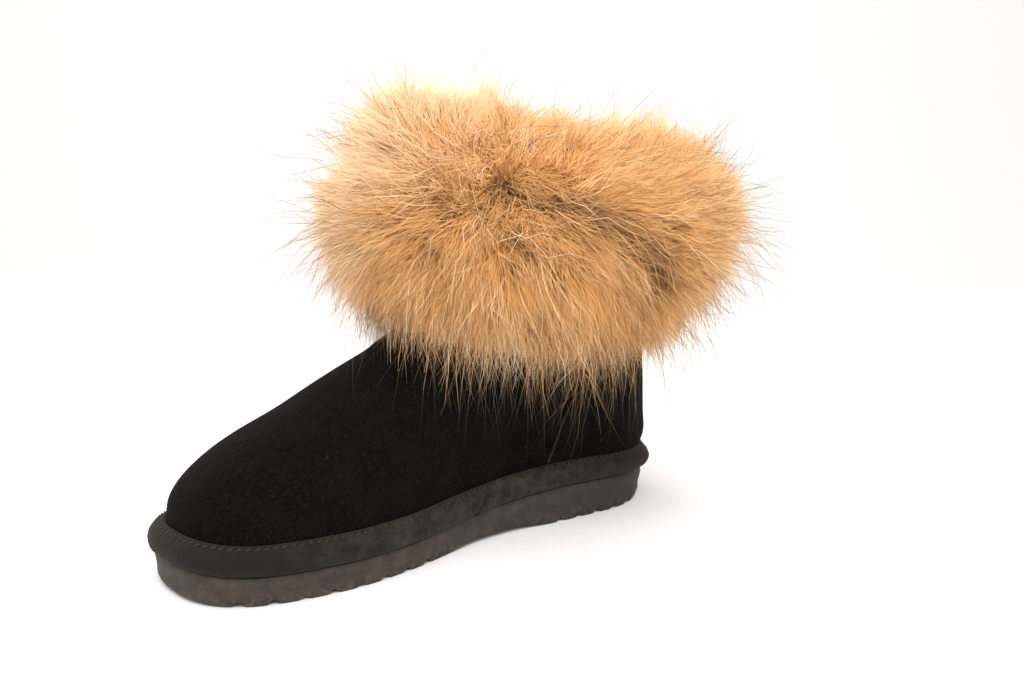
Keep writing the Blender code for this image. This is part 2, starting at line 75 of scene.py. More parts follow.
# The outsole's side, from the floor up. rise: share of the thickness. inside: distance inside
# the outline, share of the taper there.
SOLE_SIDE = {
    "rise": (0.00, 0.12, 0.45, 0.86, 1.00),
    "inside": (1.00, 0.55, 0.36, 0.05, 0.32),
}

# The binding strip's section. rise: share of its height. out: share of its bulge where
# positive, of its depth where negative.
BINDING_SECTION = {
    "rise": (0.00, 0.00, 0.05, 0.14, 0.28, 0.44, 0.60, 0.74, 0.85, 0.93, 0.99, 1.01, 1.00, 0.90),
    "out": (-1.00, -0.30, 0.42, 0.78, 0.97, 1.00, 0.84, 0.52, 0.14, -0.16, -0.40, -0.66, -0.90,
            -1.10),
}

# The upper's rings above the binding. front and back: where the ring meets the middle plane,
# share of the length from the back of the heel. front_up and back_up: share of the way from
# the binding's top to the collar. oval: 0 as wide as the sole, 1 as wide as the shaft.
# full: width against that. front_cap and back_cap: length of the rounded ends. power: 2 is
# round. follow: share of the sole's own rise.
UPPER_ROWS = {
    "front": (0.978, 0.956, 0.917, 0.866, 0.790, 0.695, 0.600, 0.525, 0.478, 0.458, 0.455),
    "front_up": (0.070, 0.126, 0.179, 0.228, 0.288, 0.370, 0.465, 0.576, 0.710, 0.850, 1.000),
    "back": (-0.004, -0.004, -0.002, -0.001, 0.001, 0.002, 0.004, 0.006, 0.008, 0.010, 0.011),
    "back_up": (0.085, 0.165, 0.240, 0.310, 0.385, 0.470, 0.565, 0.665, 0.775, 0.885, 1.000),
    "oval": (0.02, 0.06, 0.12, 0.20, 0.30, 0.45, 0.62, 0.78, 0.90, 0.97, 1.00),
    "full": (0.985, 0.985, 0.975, 0.965, 0.960, 0.965, 0.975, 0.985, 0.990, 1.00, 1.00),
    "front_cap": (0.31, 0.34, 0.38, 0.42, 0.45, 0.44, 0.40, 0.34, 0.28, 0.235, 0.222),
    "back_cap": (0.165, 0.165, 0.170, 0.175, 0.180, 0.185, 0.190, 0.197, 0.204, 0.209, 0.213),
    "power": (2.40, 2.30, 2.20, 2.10, 2.05, 2.00, 2.00, 2.00, 2.05, 2.10, 2.10),
    "follow": (0.70, 0.45, 0.25, 0.10, 0.00, 0.00, 0.00, 0.00, 0.00, 0.00, 0.00),
}

# The side seam. around: share of the way from heel to toe. up: share of the upper's rows above
# the binding.
SEAM_ROWS = {
    "up": (0.00, 0.10, 0.24, 0.40, 0.55, 1.00),
    "around": (0.331, 0.327, 0.321, 0.316, 0.312, 0.306),
}

# The dense fur's section, from its lower inner edge out and over to its upper inner edge. out:
# share of the fur's reach. up: below 0, shares of the drop under the pelt; 0 to 1, pelt to
# collar; above 1, shares of the rise over the collar.
FUR_ROWS = {
    "out": (0.00, 0.25, 0.56, 0.84, 1.00, 0.96, 0.76, 0.48, 0.18, 0.00),
    "up": (-0.20, -0.85, -0.50, 0.10, 0.60, 1.08, 1.55, 1.88, 1.82, 1.25),
}

# How the hair's own skin differs from the dense fur's face. place: along the section. in: how
# far inside the face it lies, in metres. long: hair length against the layer's.
HAIR_ROWS = {
    "place": (0.00, 0.10, 0.20, 0.35, 0.50, 0.65, 0.80, 0.92, 1.00),
    "in": (0.0095, 0.0095, 0.0090, 0.0070, 0.0050, 0.0045, 0.0020, 0.0030, 0.0050),
    "long": (0.55, 0.58, 0.64, 0.82, 0.98, 1.00, 1.05, 0.85, 0.60),
}

# Lobes and hollows of the cuff. around and place: the middle. wide and tall: half sizes in the
# same shares. out: height in metres, below 0 for a hollow.
LOBES = {
    "around": (0.490, 0.364, 0.250, 0.140, 0.600, 0.800, 0.930, 0.450, 0.560, 0.560, 0.130,
               0.290, 0.210, 0.400, 0.562, 0.560, 0.523, 0.560, 0.395, 0.469, 0.165, 0.117,
               0.160),
    "place": (0.780, 0.740, 0.700, 0.700, 0.700, 0.720, 0.700, 0.160, 0.160, 0.500, 0.350,
              0.120, 0.120, 0.120, 0.655, 0.745, 0.800, 0.270, 0.830, 0.810, 0.770, 0.530,
              0.360),
    "wide": (0.075, 0.016, 0.080, 0.050, 0.060, 0.070, 0.060, 0.060, 0.060, 0.060, 0.060,
             0.060, 0.060, 0.030, 0.035, 0.022, 0.018, 0.045, 0.014, 0.014, 0.050, 0.040,
             0.040),
    "tall": (0.140, 0.100, 0.120, 0.120, 0.140, 0.120, 0.130, 0.150, 0.150, 0.180, 0.130,
             0.140, 0.140, 0.130, 0.030, 0.030, 0.050, 0.080, 0.080, 0.060, 0.060, 0.080,
             0.060),
    "out": (0.0120, -0.0060, 0.0030, -0.0020, 0.0030, -0.0020, 0.0020, 0.0110, 0.0080, 0.0050,
            -0.0080, -0.0130, -0.0120, 0.0050, -0.0095, -0.0055, 0.0060, -0.0090, 0.0080,
            -0.0055, -0.0045, -0.0040, -0.0040),
}

# Patches where the hair parts and its dark roots show. around and place: the middle. wide and
# tall: half sizes in the same shares. deep: how dark.
DARK_PATCHES = {
    "around": (0.402, 0.385, 0.412, 0.434, 0.366, 0.345, 0.320, 0.294, 0.272, 0.452, 0.392, 0.150,
               0.020, 0.870, 0.760, 0.660, 0.580, 0.346, 0.262),
    "place": (0.615, 0.585, 0.560, 0.560, 0.565, 0.550, 0.525, 0.492, 0.455, 0.700, 0.490, 0.560,
              0.520, 0.600, 0.540, 0.620, 0.520, 0.500, 0.430),
    "wide": (0.010, 0.010, 0.010, 0.010, 0.012, 0.014, 0.016, 0.018, 0.020, 0.010, 0.010, 0.030,
             0.040, 0.030, 0.035, 0.030, 0.030, 0.012, 0.020),
    "tall": (0.030, 0.024, 0.024, 0.020, 0.024, 0.026, 0.028, 0.032, 0.040, 0.020, 0.030, 0.040,
             0.050, 0.050, 0.040, 0.040, 0.045, 0.030, 0.035),
    "deep": (0.80, 0.75, 0.60, 0.65, 0.90, 0.90, 0.90, 0.85, 0.65, 0.40, 0.65, 0.45,
             0.50, 0.60, 0.50, 0.50, 0.40, 0.60, 0.45),
}

# Where the fur is paler: partly the hair's own paler tone and partly painted light on the cuff's
# lit upper and left parts. The columns are as in DARK_PATCHES, and pale is how much.
PALE_AND_LIT_PATCHES = {
    "around": (0.500, 0.560, 0.250, 0.160, 0.420, 0.620, 0.800, 0.950, 0.360, 0.170),
    "place": (0.740, 0.480, 0.800, 0.560, 0.880, 0.780, 0.820, 0.780, 0.200, 0.300),
    "wide": (0.070, 0.060, 0.090, 0.060, 0.070, 0.080, 0.090, 0.080, 0.050, 0.070),
    "tall": (0.150, 0.200, 0.120, 0.120, 0.120, 0.140, 0.140, 0.150, 0.100, 0.130),
    "pale": (0.50, 0.60, 0.26, 0.30, 0.26, 0.62, 0.30, 0.28, 0.20, 0.36),
}

# How far the padded instep stands out over the plain form, as bumps. x and wide: middle and half
# size along the boot, in metres. y and half: middle and half size across it. out: height.
INSTEP_FILL = {
    "x": (-0.100, -0.125, -0.165),
    "wide": (0.024, 0.024, 0.035),
    "y": (0.000, 0.010, 0.012),
    "half": (0.024, 0.032, 0.035),
    "out": (0.0026, 0.0030, 0.0012),
}

# Creases down both sides of the ankle, all in metres but the slope. x: where the line is at the
# creases' mean height. slope: how far it runs towards the toe for each metre up. wide: half
# width. deep: depth.
CREASES = {
    "x": (-0.1120, -0.0800, -0.0560),
    "slope": (0.55, 0.95, 1.30),
    "wide": (0.0060, 0.0075, 0.0070),
    "deep": (0.0011, 0.0009, 0.0008),
}

# The back of the heel against the plain form, in metres. z: height of the middle off the floor.
# wide: half size. out: height, below 0 for a hollow.
HEEL_RELIEF = {
    "z": (0.046, 0.028),
    "wide": (0.014, 0.007),
    "out": (-0.0011, 0.0026),
}

# The suede beside the side seam, in metres. place: distance from the seam, positive towards the
# toe. wide: half size. out: height, below 0 for a trough.
SEAM_RELIEF = {
    "place": (0.0042, 0.0125, -0.0010),
    "wide": (0.0034, 0.0050, 0.0030),
    "out": (-0.0022, 0.0010, 0.0004),
}


def smooth_step(t: Array) -> Array:
    """Rises smoothly from 0 to 1 while t does: 3 t squared minus 2 t cubed, t held there."""
    t = np.clip(t, 0.0, 1.0)
    return t * t * (3.0 - 2.0 * t)


def bell(t: Array) -> Array:
    """A bell curve: 1 where t is 0, and e to the power of minus t squared away from it."""
    return np.exp(-(t**2))


def through(places: Array, values: Array, at: Array) -> Array:
    """Reads a smooth curve through the rows of a table.

    Args:
        places: Rising places of the rows.
        values: One value, or one array of values, for each row.
        at: Places to read.

    Returns:
        The cubic Hermite curve whose slope at each row is that of its neighbours.
    """
    places, values = np.asarray(places, float), np.asarray(values, float)
    slopes = np.gradient(values, places, axis=0)
    at = np.clip(np.asarray(at, float), places[0], places[-1])
    low = np.clip(np.searchsorted(places, at, side="right") - 1, 0, len(places) - 2)
    span = (places[low + 1] - places[low]).reshape(at.shape + (1,) * (values.ndim - 1))
    t = (at - places[low]).reshape(span.shape) / span
    return (
        values[low] * (1 + 2 * t) * (1 - t) ** 2
        + slopes[low] * span * t * (1 - t) ** 2
        + values[low + 1] * t * t * (3 - 2 * t)
        + slopes[low + 1] * span * t * t * (t - 1)
    )


def rounded(share: Array, length: float, power: float) -> Array:
    """Height of a rounded end: 0 at its tip, 1 past its length, a superellipse between."""
    left = np.clip(1.0 - share / length, 0.0, 1.0)
    return (1.0 - left**power) ** (1.0 / power)


def unit(vectors: Array) -> Array:
    """The vectors divided by their lengths."""
    return vectors / np.maximum(np.linalg.norm(vectors, axis=-1, keepdims=True), 1e-12)


def ripples(points: Array, *rows: tuple[float, float, int]) -> Array:
    """Smooth lumps, made from a few plane waves.

    Args:
        points: Places in metres, last axis X, Y and Z.
        rows: For each set of lumps, their rough size in metres, their height, and the seed
            that chooses the waves.

    Returns:
        The heights added up. Each set is nine sines with random directions and phases, whose
        sum is divided by 4 to lie near -1 to 1.
    """
    total = np.zeros(points.shape[:-1])
    for size, high, seed in rows:
        rng = np.random.default_rng(seed)
        waves = rng.normal(size=(9, 3))
        stretch = math.pi / size / np.linalg.norm(waves, axis=1) * rng.uniform(0.6, 1.4, 9)
        waves *= stretch[:, None]
        phases = rng.uniform(0, 2 * math.pi, 9)
        total += np.sin(points @ waves.T + phases).sum(axis=-1) / 4.0 * high
    return total


def linear(hex_colour: str) -> tuple[float, float, float, float]:
    """An sRGB colour such as #a0b0c0 as the linear values that shaders take.

    Args:
        hex_colour: The colour.

    Returns:
        Red, green, blue and 1.
    """
    parts = [int(hex_colour[k : k + 2], 16) / 255 for k in (1, 3, 5)]
    made = [p / 12.92 if p <= 0.04045 else ((p + 0.055) / 1.055) ** 2.4 for p in parts]
    return (*made, 1.0)


@dataclass(frozen=True)
class BootSizes:
    """The boot's own sizes in metres, the same as in the CAD source."""

    length: float = 0.262
    ball_width: float = 0.0965
    heel_width: float = 0.0715
    heel_seat: float = 0.045
    forefoot_sole: float = 0.0118
    heel_sole: float = 0.0178
    toe_spring: float = 0.0022
    arch_lift: float = 0.0026
    toe_taper: float = 0.0016
    heel_taper: float = 0.0036
    binding_height: float = 0.0112
    binding_bulge: float = 0.0027
    heel_bulge: float = 0.0018
    binding_depth: float = 0.0042
    heel_shallow: float = 0.0016
    heel_flush: float = 0.0022
    collar_height: float = 0.150
    shaft_width: float = 0.090
    upper_wall: float = 0.0028
    insole_thickness: float = 0.005
    rib_pitch: float = 0.0122
    rib_groove_width: float = 0.0050
    rib_groove_depth: float = 0.0019
    fit_gap: float = 0.0003
    heel_rounding: float = 0.165
    heel_power: float = 2.1
    toe_rounding: float = 0.29
    toe_power: float = 2.5
    fur_bottom: float = 0.091
    fur_front_lift: float = 0.024
    fur_back_lift: float = 0.016
    fur_reach: float = 0.052
    fur_rise: float = 0.039
    fur_lean: float = 0.010
    fur_drop: float = 0.012
    heel_tuck: float = 0.013


@dataclass(frozen=True)
class Last:
    """The forms that the boot is built on: the sole's outline and the upper's surface.

    Along is a share of the boot's length from the back of the heel, and so is every field but
    the sizes.
    """

    sizes: BootSizes
    heel_end: float = 0.30
    arch_start: float = 0.30
    arch_end: float = 0.58
    arch_fade: float = 0.10
    wedge_end: float = 0.66
    wedge_run: float = 0.40
    spring_start: float = 0.90

    @property
    def last_row(self) -> int:
        """Number of the upper's top ring."""
        return len(UPPER_ROWS["front"]) + 2

    def x_at(self, along: Array) -> Array:
        """X of a share of the length."""
        return self.sizes.heel_seat - along * self.sizes.length

    def along_at(self, x: Array) -> Array:
        """The share of the length at this X."""
        return (self.sizes.heel_seat - x) / self.sizes.length

    def half_width(self, along: Array) -> Array:
        """Half the outsole's width, without its rounded ends.

        Args:
            along: Shares of the length.

        Returns:
            Half the width in metres.
        """
        s = self.sizes
        share = through(SOLE_ROWS["along"], SOLE_ROWS["width"], along)
        return (s.heel_width + (s.ball_width - s.heel_width) * share) / 2

    def centre(self, along: Array) -> Array:
        """Y of the middle line of the foot."""
        return self.sizes.ball_width * through(SOLE_ROWS["along"], SOLE_ROWS["centre"], along)

    def heel_share(self, along: Array) -> Array:
        """1 at the back of the heel, 0 from the waist forward."""
        return smooth_step((self.heel_end - along) / self.heel_end)

    def toe_lift(self, along: Array) -> Array:
        """How far the outsole's underside curves up towards the toe: as a square."""
        share = (along - self.spring_start) / (1.0 - self.spring_start)
        return self.sizes.toe_spring * np.clip(share, 0.0, 1.0) ** 2

    def under(self, along: Array) -> Array:
        """Height of the outsole's underside off the floor.

        Args:
            along: Shares of the length.

        Returns:
            The lifted waist between two smooth ends, plus the toe's lift.
        """
        arch = (smooth_step((along - self.arch_start) / self.arch_fade)
                * smooth_step((self.arch_end - along) / self.arch_fade))
        return self.sizes.arch_lift * arch + self.toe_lift(along)

    def top(self, along: Array) -> Array:
        """Height of the outsole's upper face.

        Args:
            along: Shares of the length.

        Returns:
            The forefoot's thickness, rising smoothly to the heel's, plus the toe's lift.
        """
        s = self.sizes
        rise = smooth_step((self.wedge_end - along) / self.wedge_run)
        return s.forefoot_sole + (s.heel_sole - s.forefoot_sole) * rise + self.toe_lift(along)

    def top_at(self, x: Array) -> Array:
        """Height of the outsole's upper face at this X."""
        return self.top(self.along_at(x))

    def binding_depth(self, along: Array) -> Array:
        """How far the binding reaches in from the outsole's edge."""
        return self.sizes.binding_depth - self.sizes.heel_shallow * self.heel_share(along)

    def suede_depth(self, along: Array) -> Array:
        """How far in the suede meets the strip: nearly flush with the sole round the heel."""
        return self.binding_depth(along) - self.sizes.heel_flush * self.heel_share(along)

    def binding_bulge(self, along: Array) -> Array:
        """How far the binding stands out past the outsole."""
        return self.sizes.binding_bulge + self.sizes.heel_bulge * self.heel_share(along)

    @staticmethod
    def closed_ring(middle: Array, half: Array, count: int) -> Array:
        """One evenly spaced ring round a middle line.

        Args:
            middle: The line's points from heel to toe, X and Y first.
            half: How far the ring is from it in Y on both sides.
            count: Number of points of the ring, even.

        Returns:
            The ring: forward along the inner side, back along the outer side.
        """
        sides = []
        for way in (-1, 1):
            side = middle.copy()
            side[:, 1] += half * way
            side = side[::-way]
            run = np.concatenate([[0.0], np.cumsum(np.linalg.norm(np.diff(side, axis=0), axis=1))])
            at = np.linspace(0.0, run[-1], count // 2 + 1)[:-1]
            sides.append(np.stack([np.interp(at, run, column) for column in side.T], 1))
        return np.concatenate(sides)

    def outline(self, count: int) -> Array:
        """The outsole's outline as a ring of X and Y.

        Args:
            count: Number of points, even.

        Returns:
            An array of that many X and Y: the middle line plus or minus the half width, which
            two superellipse ends bring to nothing.
        """
        s = self.sizes
        along = (1.0 - np.cos(np.linspace(0.0, math.pi, 721))) / 2
        half = (
            self.half_width(along)
            * rounded(along, s.heel_rounding, s.heel_power)
            * rounded(1.0 - along, s.toe_rounding, s.toe_power)
        )
        return self.closed_ring(np.stack([self.x_at(along), self.centre(along)], 1), half, count)

    @staticmethod
    def outward(ring: Array) -> Array:
        """Unit vectors out of a ring, level with the floor: the chord over each point, turned."""
        run = np.roll(ring, -1, axis=0)[:, :2] - np.roll(ring, 1, axis=0)[:, :2]
        return unit(np.stack([-run[:, 1], run[:, 0]], 1))

    def upper_ring(self, row: int, count: int) -> Array:
        """One ring of the upper.

        Args:
            row: The row of UPPER_ROWS that it is made from.
            count: Number of points, even.

        Returns:
            The ring: a chord from the boot's back to its front. Its half width is the sole's or
            the shaft's, brought to nothing by a superellipse at each end, and its height runs
            evenly from back to front.
        """
        s = self.sizes
        v = {name: values[row] for name, values in UPPER_ROWS.items()}
        chord = (1.0 - np.cos(np.linspace(0.0, math.pi, 361))) / 2
        span = v["front"] - v["back"]
        along = v["back"] + span * chord
        foot = self.half_width(along) - self.suede_depth(along) - s.fit_gap
        half = (foot + (s.shaft_width / 2 - foot) * v["oval"]) * v["full"]
        half = half * rounded(chord * span, v["back_cap"], v["power"])
        half = half * rounded((1.0 - chord) * span, v["front_cap"], v["power"])
        middle = self.centre(along) * (1.0 - v["oval"])
        start = s.heel_sole + s.binding_height
        height = v["back_up"] + (v["front_up"] - v["back_up"]) * chord
        height = start + (s.collar_height - start) * height
        height = height + (self.top(along) - s.heel_sole) * v["follow"]
        return self.closed_ring(np.column_stack([self.x_at(along), middle, height]), half, count)

    def upper_grid(self, count: int, rows: Array) -> Array:
        """The upper's outer face, smooth between its control rings.

        Args:
            count: Number of points round each ring.
            rows: Numbers of the control rings to read, fractions too. The first three stand
                behind the binding, and those of UPPER_ROWS follow.

        Returns:
            One ring for each row.
        """
        s = self.sizes
        outline = self.outline(count)
        depth = self.suede_depth(self.along_at(outline[:, 0]))[:, None] + s.fit_gap
        base = outline - self.outward(outline) * depth
        level = self.top_at(base[:, 0])
        rises = (s.fit_gap, s.binding_height * 0.55, s.binding_height + s.fit_gap)
        rings = [np.column_stack([base, level + rise]) for rise in rises]
        rings += [self.upper_ring(row, count) for row in range(len(UPPER_ROWS["front"]))]
        return through(np.arange(len(rings)), rings, rows)


def grid_normals(grid: Array) -> Array:
    """Outward unit normals of a stack of rings: the cross product of its two directions."""
    run = np.roll(grid, -1, axis=1) - np.roll(grid, 1, axis=1)
    return unit(np.cross(np.gradient(grid, axis=0), run))


def read_grid(grid: Array, rows: Array, columns: Array) -> Array:
    """Reads a grid of rings, straight from one ring and one point to the next.

    Args:
        grid: The rings, all with as many points.
        rows: Ring numbers to read, fractions too.
        columns: Point numbers to read, fractions too, which start again after the last.

    Returns:
        The values there.
    """
    low = np.clip(np.floor(rows).astype(int), 0, len(grid) - 2)
    left = np.floor(columns).astype(int) % grid.shape[1]
    right = (left + 1) % grid.shape[1]
    up, over = (rows - low)[:, None], (columns - np.floor(columns))[:, None]
    below = grid[low, left] * (1 - over) + grid[low, right] * over
    above = grid[low + 1, left] * (1 - over) + grid[low + 1, right] * over
    return below * (1 - up) + above * up


@dataclass(frozen=True)
class Finish:
    """What a surface is made of. Its material is built once and then shared."""

    name: str

    def build(self) -> bpy.types.Material:
        """Makes the material."""
        raise NotImplementedError

    def material(self) -> bpy.types.Material:
        """The material, built if this is its first use."""
        return bpy.data.materials.get(self.name) or self.build()


def add_mesh(name: str, points: Array, faces: list[Array], finish: Finish,
             uvs: Array | None = None) -> bpy.types.Object:
    """Makes a smooth-shaded object from arrays.

    Args:
        name: The piece's name.
        points: Places of the vertices in metres.
        faces: Arrays of vertex numbers, one array for each number of corners.
        finish: What it is made of.
        uvs: One pair for each vertex, or None.

    Returns:
        The new object at the origin, linked to the scene.
    """
    corners = np.concatenate([f.ravel() for f in faces]).astype(np.int32)
    sizes = np.concatenate([np.full(len(f), f.shape[1]) for f in faces])
    starts = np.concatenate([[0], np.cumsum(sizes)[:-1]]).astype(np.int32)
    mesh = bpy.data.meshes.new(name)
    mesh.vertices.add(len(points))
    mesh.vertices.foreach_set("co", np.ascontiguousarray(points, dtype=np.float32).ravel())
    mesh.loops.add(len(corners))
    mesh.loops.foreach_set("vertex_index", corners)
    mesh.polygons.add(len(sizes))
    mesh.polygons.foreach_set("loop_start", starts)
    mesh.polygons.foreach_set("use_smooth", np.ones(len(sizes), dtype=bool))
    if uvs is not None:
        layer = mesh.uv_layers.new(name="UVMap")
        layer.data.foreach_set("uv", np.ascontiguousarray(uvs[corners], dtype=np.float32).ravel())
    mesh.update(calc_edges=True)
    mesh.materials.append(finish.material())
    obj = bpy.data.objects.new(name, mesh)
    bpy.context.scene.collection.objects.link(obj)
    return obj


def ring_faces(levels: int, count: int, flip: bool = False, closed: bool = False) -> Array:
    """Quads between the neighbouring rings of a stack.

    Args:
        levels: Number of rings.
        count: Number of points round each.
        flip: Whether the quads are wound the other way.
        closed: Whether the last ring meets the first, as in a tube bent to a ring.

    Returns:
        One row of four point numbers for each quad.
    """
    level = np.arange(levels if closed else levels - 1)[:, None] * count
    above = (level + count) % (levels * count)
    column = np.arange(count)[None]
    after = (column + 1) % count
    quads = np.stack([level + column, level + after, above + after, above + column], axis=-1)
    quads = quads.reshape(-1, 4)
    return quads[:, ::-1] if flip else quads


def add_shell(name: str, grid: Array, finish: Finish,
              uvs: Array | None = None) -> bpy.types.Object:
    """Makes a piece from a stack of rings whose last ring meets its first.

    Args:
        name: The piece's name.
        grid: The rings, in order up one face and down the other.
        finish: What it is made of.
        uvs: One pair for each point, or None.

    Returns:
        The piece.
    """
    faces = ring_faces(*grid.shape[:2], flip=True, closed=True)
    return add_mesh(name, grid.reshape(-1, 3), [faces], finish, uvs)


class Shader:
    """A material's node tree on one surface, built up node by node."""

    def __init__(self, name: str) -> None:
        """Starts a material of that name.

        Args:
            name: The material's name.
        """
        self.material = bpy.data.materials.new(name)
        self.material.use_nodes = True
        self.nodes = self.material.node_tree.nodes
        self.surface = self.nodes["Principled BSDF"]

    def add(self, kind: str, settings: dict | None = None, out: int | str = 0,
            **inputs) -> bpy.types.NodeSocket:
        """Adds a node with its settings and links.

        Args:
            kind: The node's type, without ShaderNode.
            settings: The node's properties. Stops are a colour ramp's places and colours.
            out: The number or name of the output that is wanted.
            inputs: Values or outputs, by the input's name with _ for a space, or its number
                after an i.

        Returns:
            The output.
        """
        node = self.nodes.new("ShaderNode" + kind)
        settings = dict(settings or {})
        stops = settings.pop("stops", ())
        for key, value in settings.items():
            setattr(node, key, value)
        for place, colour in stops[2:]:
            node.color_ramp.elements.new(place)
        for element, (place, colour) in zip(node.color_ramp.elements if stops else (), stops):
            element.position, element.color = place, linear(colour)
        self.put(node, inputs)
        return node.outputs[out]

    def put(self, node: bpy.types.Node, inputs: dict) -> None:
        """Sets a node's inputs to values, or links outputs to them.

        Args:
            node: The node.
            inputs: Values or outputs, named as for add.
        """
        for key, value in inputs.items():
            socket = node.inputs[int(key[1:]) if key[1:].isdigit() else key.replace("_", " ")]
            if isinstance(value, bpy.types.NodeSocket):
                self.material.node_tree.links.new(value, socket)
            else:
                socket.default_value = value

    def patches(self, place: bpy.types.NodeSocket, ground: tuple, *rows: tuple) -> tuple:
        """Lays patches of other colours over a ground.

        Args:
            place: The coordinates that the patches are laid on.
            ground: The colour below them.
            rows: For each, the patches' size in metres, the noise's detail and roughness, the
                values between which they come up, the most that shows, and their colour.

        Returns:
            The colour, and the list of the rows' noises.
        """
        noises = []
        for size, detail, rough, low, high, most, colour in rows:
            noises.append(self.add("TexNoise", Vector=place, Scale=1.0 / size, Detail=detail,
                                   Roughness=rough))
            share = self.add("MapRange", Value=noises[-1], From_Min=low, From_Max=high,
                             To_Max=most)
            ground = self.add("Mix", RGBA, 2, Factor=share, i6=ground, i7=linear(colour))
        return ground, noises

    def finish(self, **inputs) -> bpy.types.Material:
        """Sets the surface's own inputs and gives the material."""
        self.put(self.surface, inputs)
        return self.material


@dataclass(frozen=True)
class Suede(Finish):
    """Black suede, split leather buffed to a nap: it stays dull and deep black, with brown
    fibre ends in it and a little pale dust on it."""

    name: str = "black_suede"
    dark: str = "#060605"
    worn: str = "#0c0c09"
    dust: str = "#3a342d"
    brown: str = "#1e1611"
    sheen: float = 0.035

    def build(self) -> bpy.types.Material:
        """Makes the material: brushed patches 16 mm across, and fibre ends, which are 0.1 mm
        wide on the real hide, drawn 0.7 to 1.6 mm wide so that they show.

        Returns:
            The material.
        """
        s = Shader(self.name)
        place = s.add("TexCoord", out="Object")
        colour, noises = s.patches(
            place, linear(self.dark), (0.016, 4.0, 0.6, 0.42, 0.70, 1.0, self.worn),
            (0.0007, 2.0, 0.7, 0.52, 0.80, 0.55, self.worn),
            (0.0013, 2.0, 0.7, 0.50, 0.78, 0.8, self.brown),
            (0.0016, 1.0, 0.5, 0.74, 0.82, 0.6, self.dust))
        height = s.add("Math", MULTIPLY_ADD, i0=noises[0], i1=0.7, i2=noises[1])
        return s.finish(Base_Color=colour, Roughness=0.96, Specular_IOR_Level=0.06,
                        Sheen_Weight=self.sheen, Sheen_Roughness=0.45,
                        Sheen_Tint=linear("#8d8378"),
                        Normal=s.add("Bump", Height=height, Distance=0.00035))


@dataclass(frozen=True)
class Microfibre(Finish):
    """Dark grey microfibre, needled and brushed, of the binding strip: duller than the foam
    below it, and darkened round the toe and the heel by painted shade."""

    name: str = "grey_microfibre"
    dark: str = "#16130f"
    pale: str = "#322d28"
    rub: str = "#51493f"

    def build(self) -> bpy.types.Material:
        """Makes the material: rubbed patches 6 mm across, and its 0.02 mm fibres drawn 0.6 mm
        wide so that they show.

        Returns:
            The material.
        """
        s = Shader(self.name)
        place = s.add("TexCoord", out="Object")
        colour, noises = s.patches(
            place, linear(self.dark), (0.006, 4.0, 0.65, 0.38, 0.66, 1.0, self.pale),
            (0.0006, 2.0, 0.7, 0.55, 0.80, 0.5, self.rub))
        # Painted shade: the strip is darker towards the toe and the heel, by its distance in X
        # from the middle.
        along = s.add("SeparateXYZ", Vector=place, out="X")
        painted_shade_distance = s.add("Math", {"operation": "ADD"}, i0=along, i1=0.085)
        painted_shade_distance = s.add("Math", {"operation": "ABSOLUTE"}, i0=painted_shade_distance)
        ends = s.add("MapRange", Value=painted_shade_distance, From_Min=0.045, From_Max=0.110, To_Max=0.95)
        colour = s.add("Mix", RGBA, 2, Factor=ends, i6=colour, i7=linear(self.dark))
        height = s.add("Math", MULTIPLY_ADD, i0=noises[0], i1=0.8, i2=noises[1])
        return s.finish(Base_Color=colour, Roughness=0.88, Specular_IOR_Level=0.2,
                        Sheen_Weight=0.10, Sheen_Roughness=0.5, Sheen_Tint=linear("#9c8e7e"),
                        Normal=s.add("Bump", Height=height, Distance=0.0003))


@dataclass(frozen=True)
class Foam(Finish):
    """Black EVA foam as it comes from the mould: matt and pebbled, greyer than the suede, with
    scuffs near the floor, and painted shade that darkens it towards the heel."""

    name: str = "black_foam"
    dark: str = "#2d2620"
    pale: str = "#42392f"
    scuff: str = "#63584c"
    heel_painted_shade: str = "#17130f"

    def build(self) -> bpy.types.Material:
        """Makes the material: a moulded pebble 1.7 mm across with a grain of 0.9 mm, patches
        7 mm across, and scuffs 3 mm long in the lowest 7 mm.

        Returns:
            The material.
        """
        s = Shader(self.name)
        place = s.add("TexCoord", out="Object")
        colour, noises = s.patches(
            place, linear(self.dark), (0.007, 5.0, 0.6, 0.35, 0.68, 1.0, self.pale),
            (0.0009, 3.0, 0.6, 0.60, 0.80, 0.15, self.scuff))
        parts = {axis: s.add("SeparateXYZ", Vector=place, out=axis) for axis in "XZ"}
        # Painted shade: the foam is darkened towards the heel, by X.
        back = s.add("MapRange", Value=parts["X"], From_Min=-0.060, From_Max=0.020, To_Max=0.7)
        colour = s.add("Mix", RGBA, 2, Factor=back, i6=colour, i7=linear(self.heel_painted_shade))
        low = s.add("MapRange", Value=parts["Z"], From_Min=0.001, From_Max=0.007, To_Min=0.55,
                    To_Max=0.0)
        worn = s.add("TexNoise", Vector=place, Scale=1.0 / 0.003, Detail=3.0, Roughness=0.6)
        worn = s.add("MapRange", Value=worn, From_Min=0.50, From_Max=0.66)
        worn = s.add("Math", {"operation": "MULTIPLY"}, i0=worn, i1=low)
        colour = s.add("Mix", RGBA, 2, Factor=worn, i6=colour, i7=linear(self.scuff))
        pebble = s.add("TexVoronoi", {"feature": "SMOOTH_F1"}, Vector=place, Scale=1.0 / 0.0017)
        height = s.add("Math", MULTIPLY_ADD, i0=pebble, i1=0.8, i2=noises[1])
        return s.finish(Base_Color=colour, Roughness=0.72, Specular_IOR_Level=0.35,
                        Normal=s.add("Bump", Height=height, Distance=0.00035))


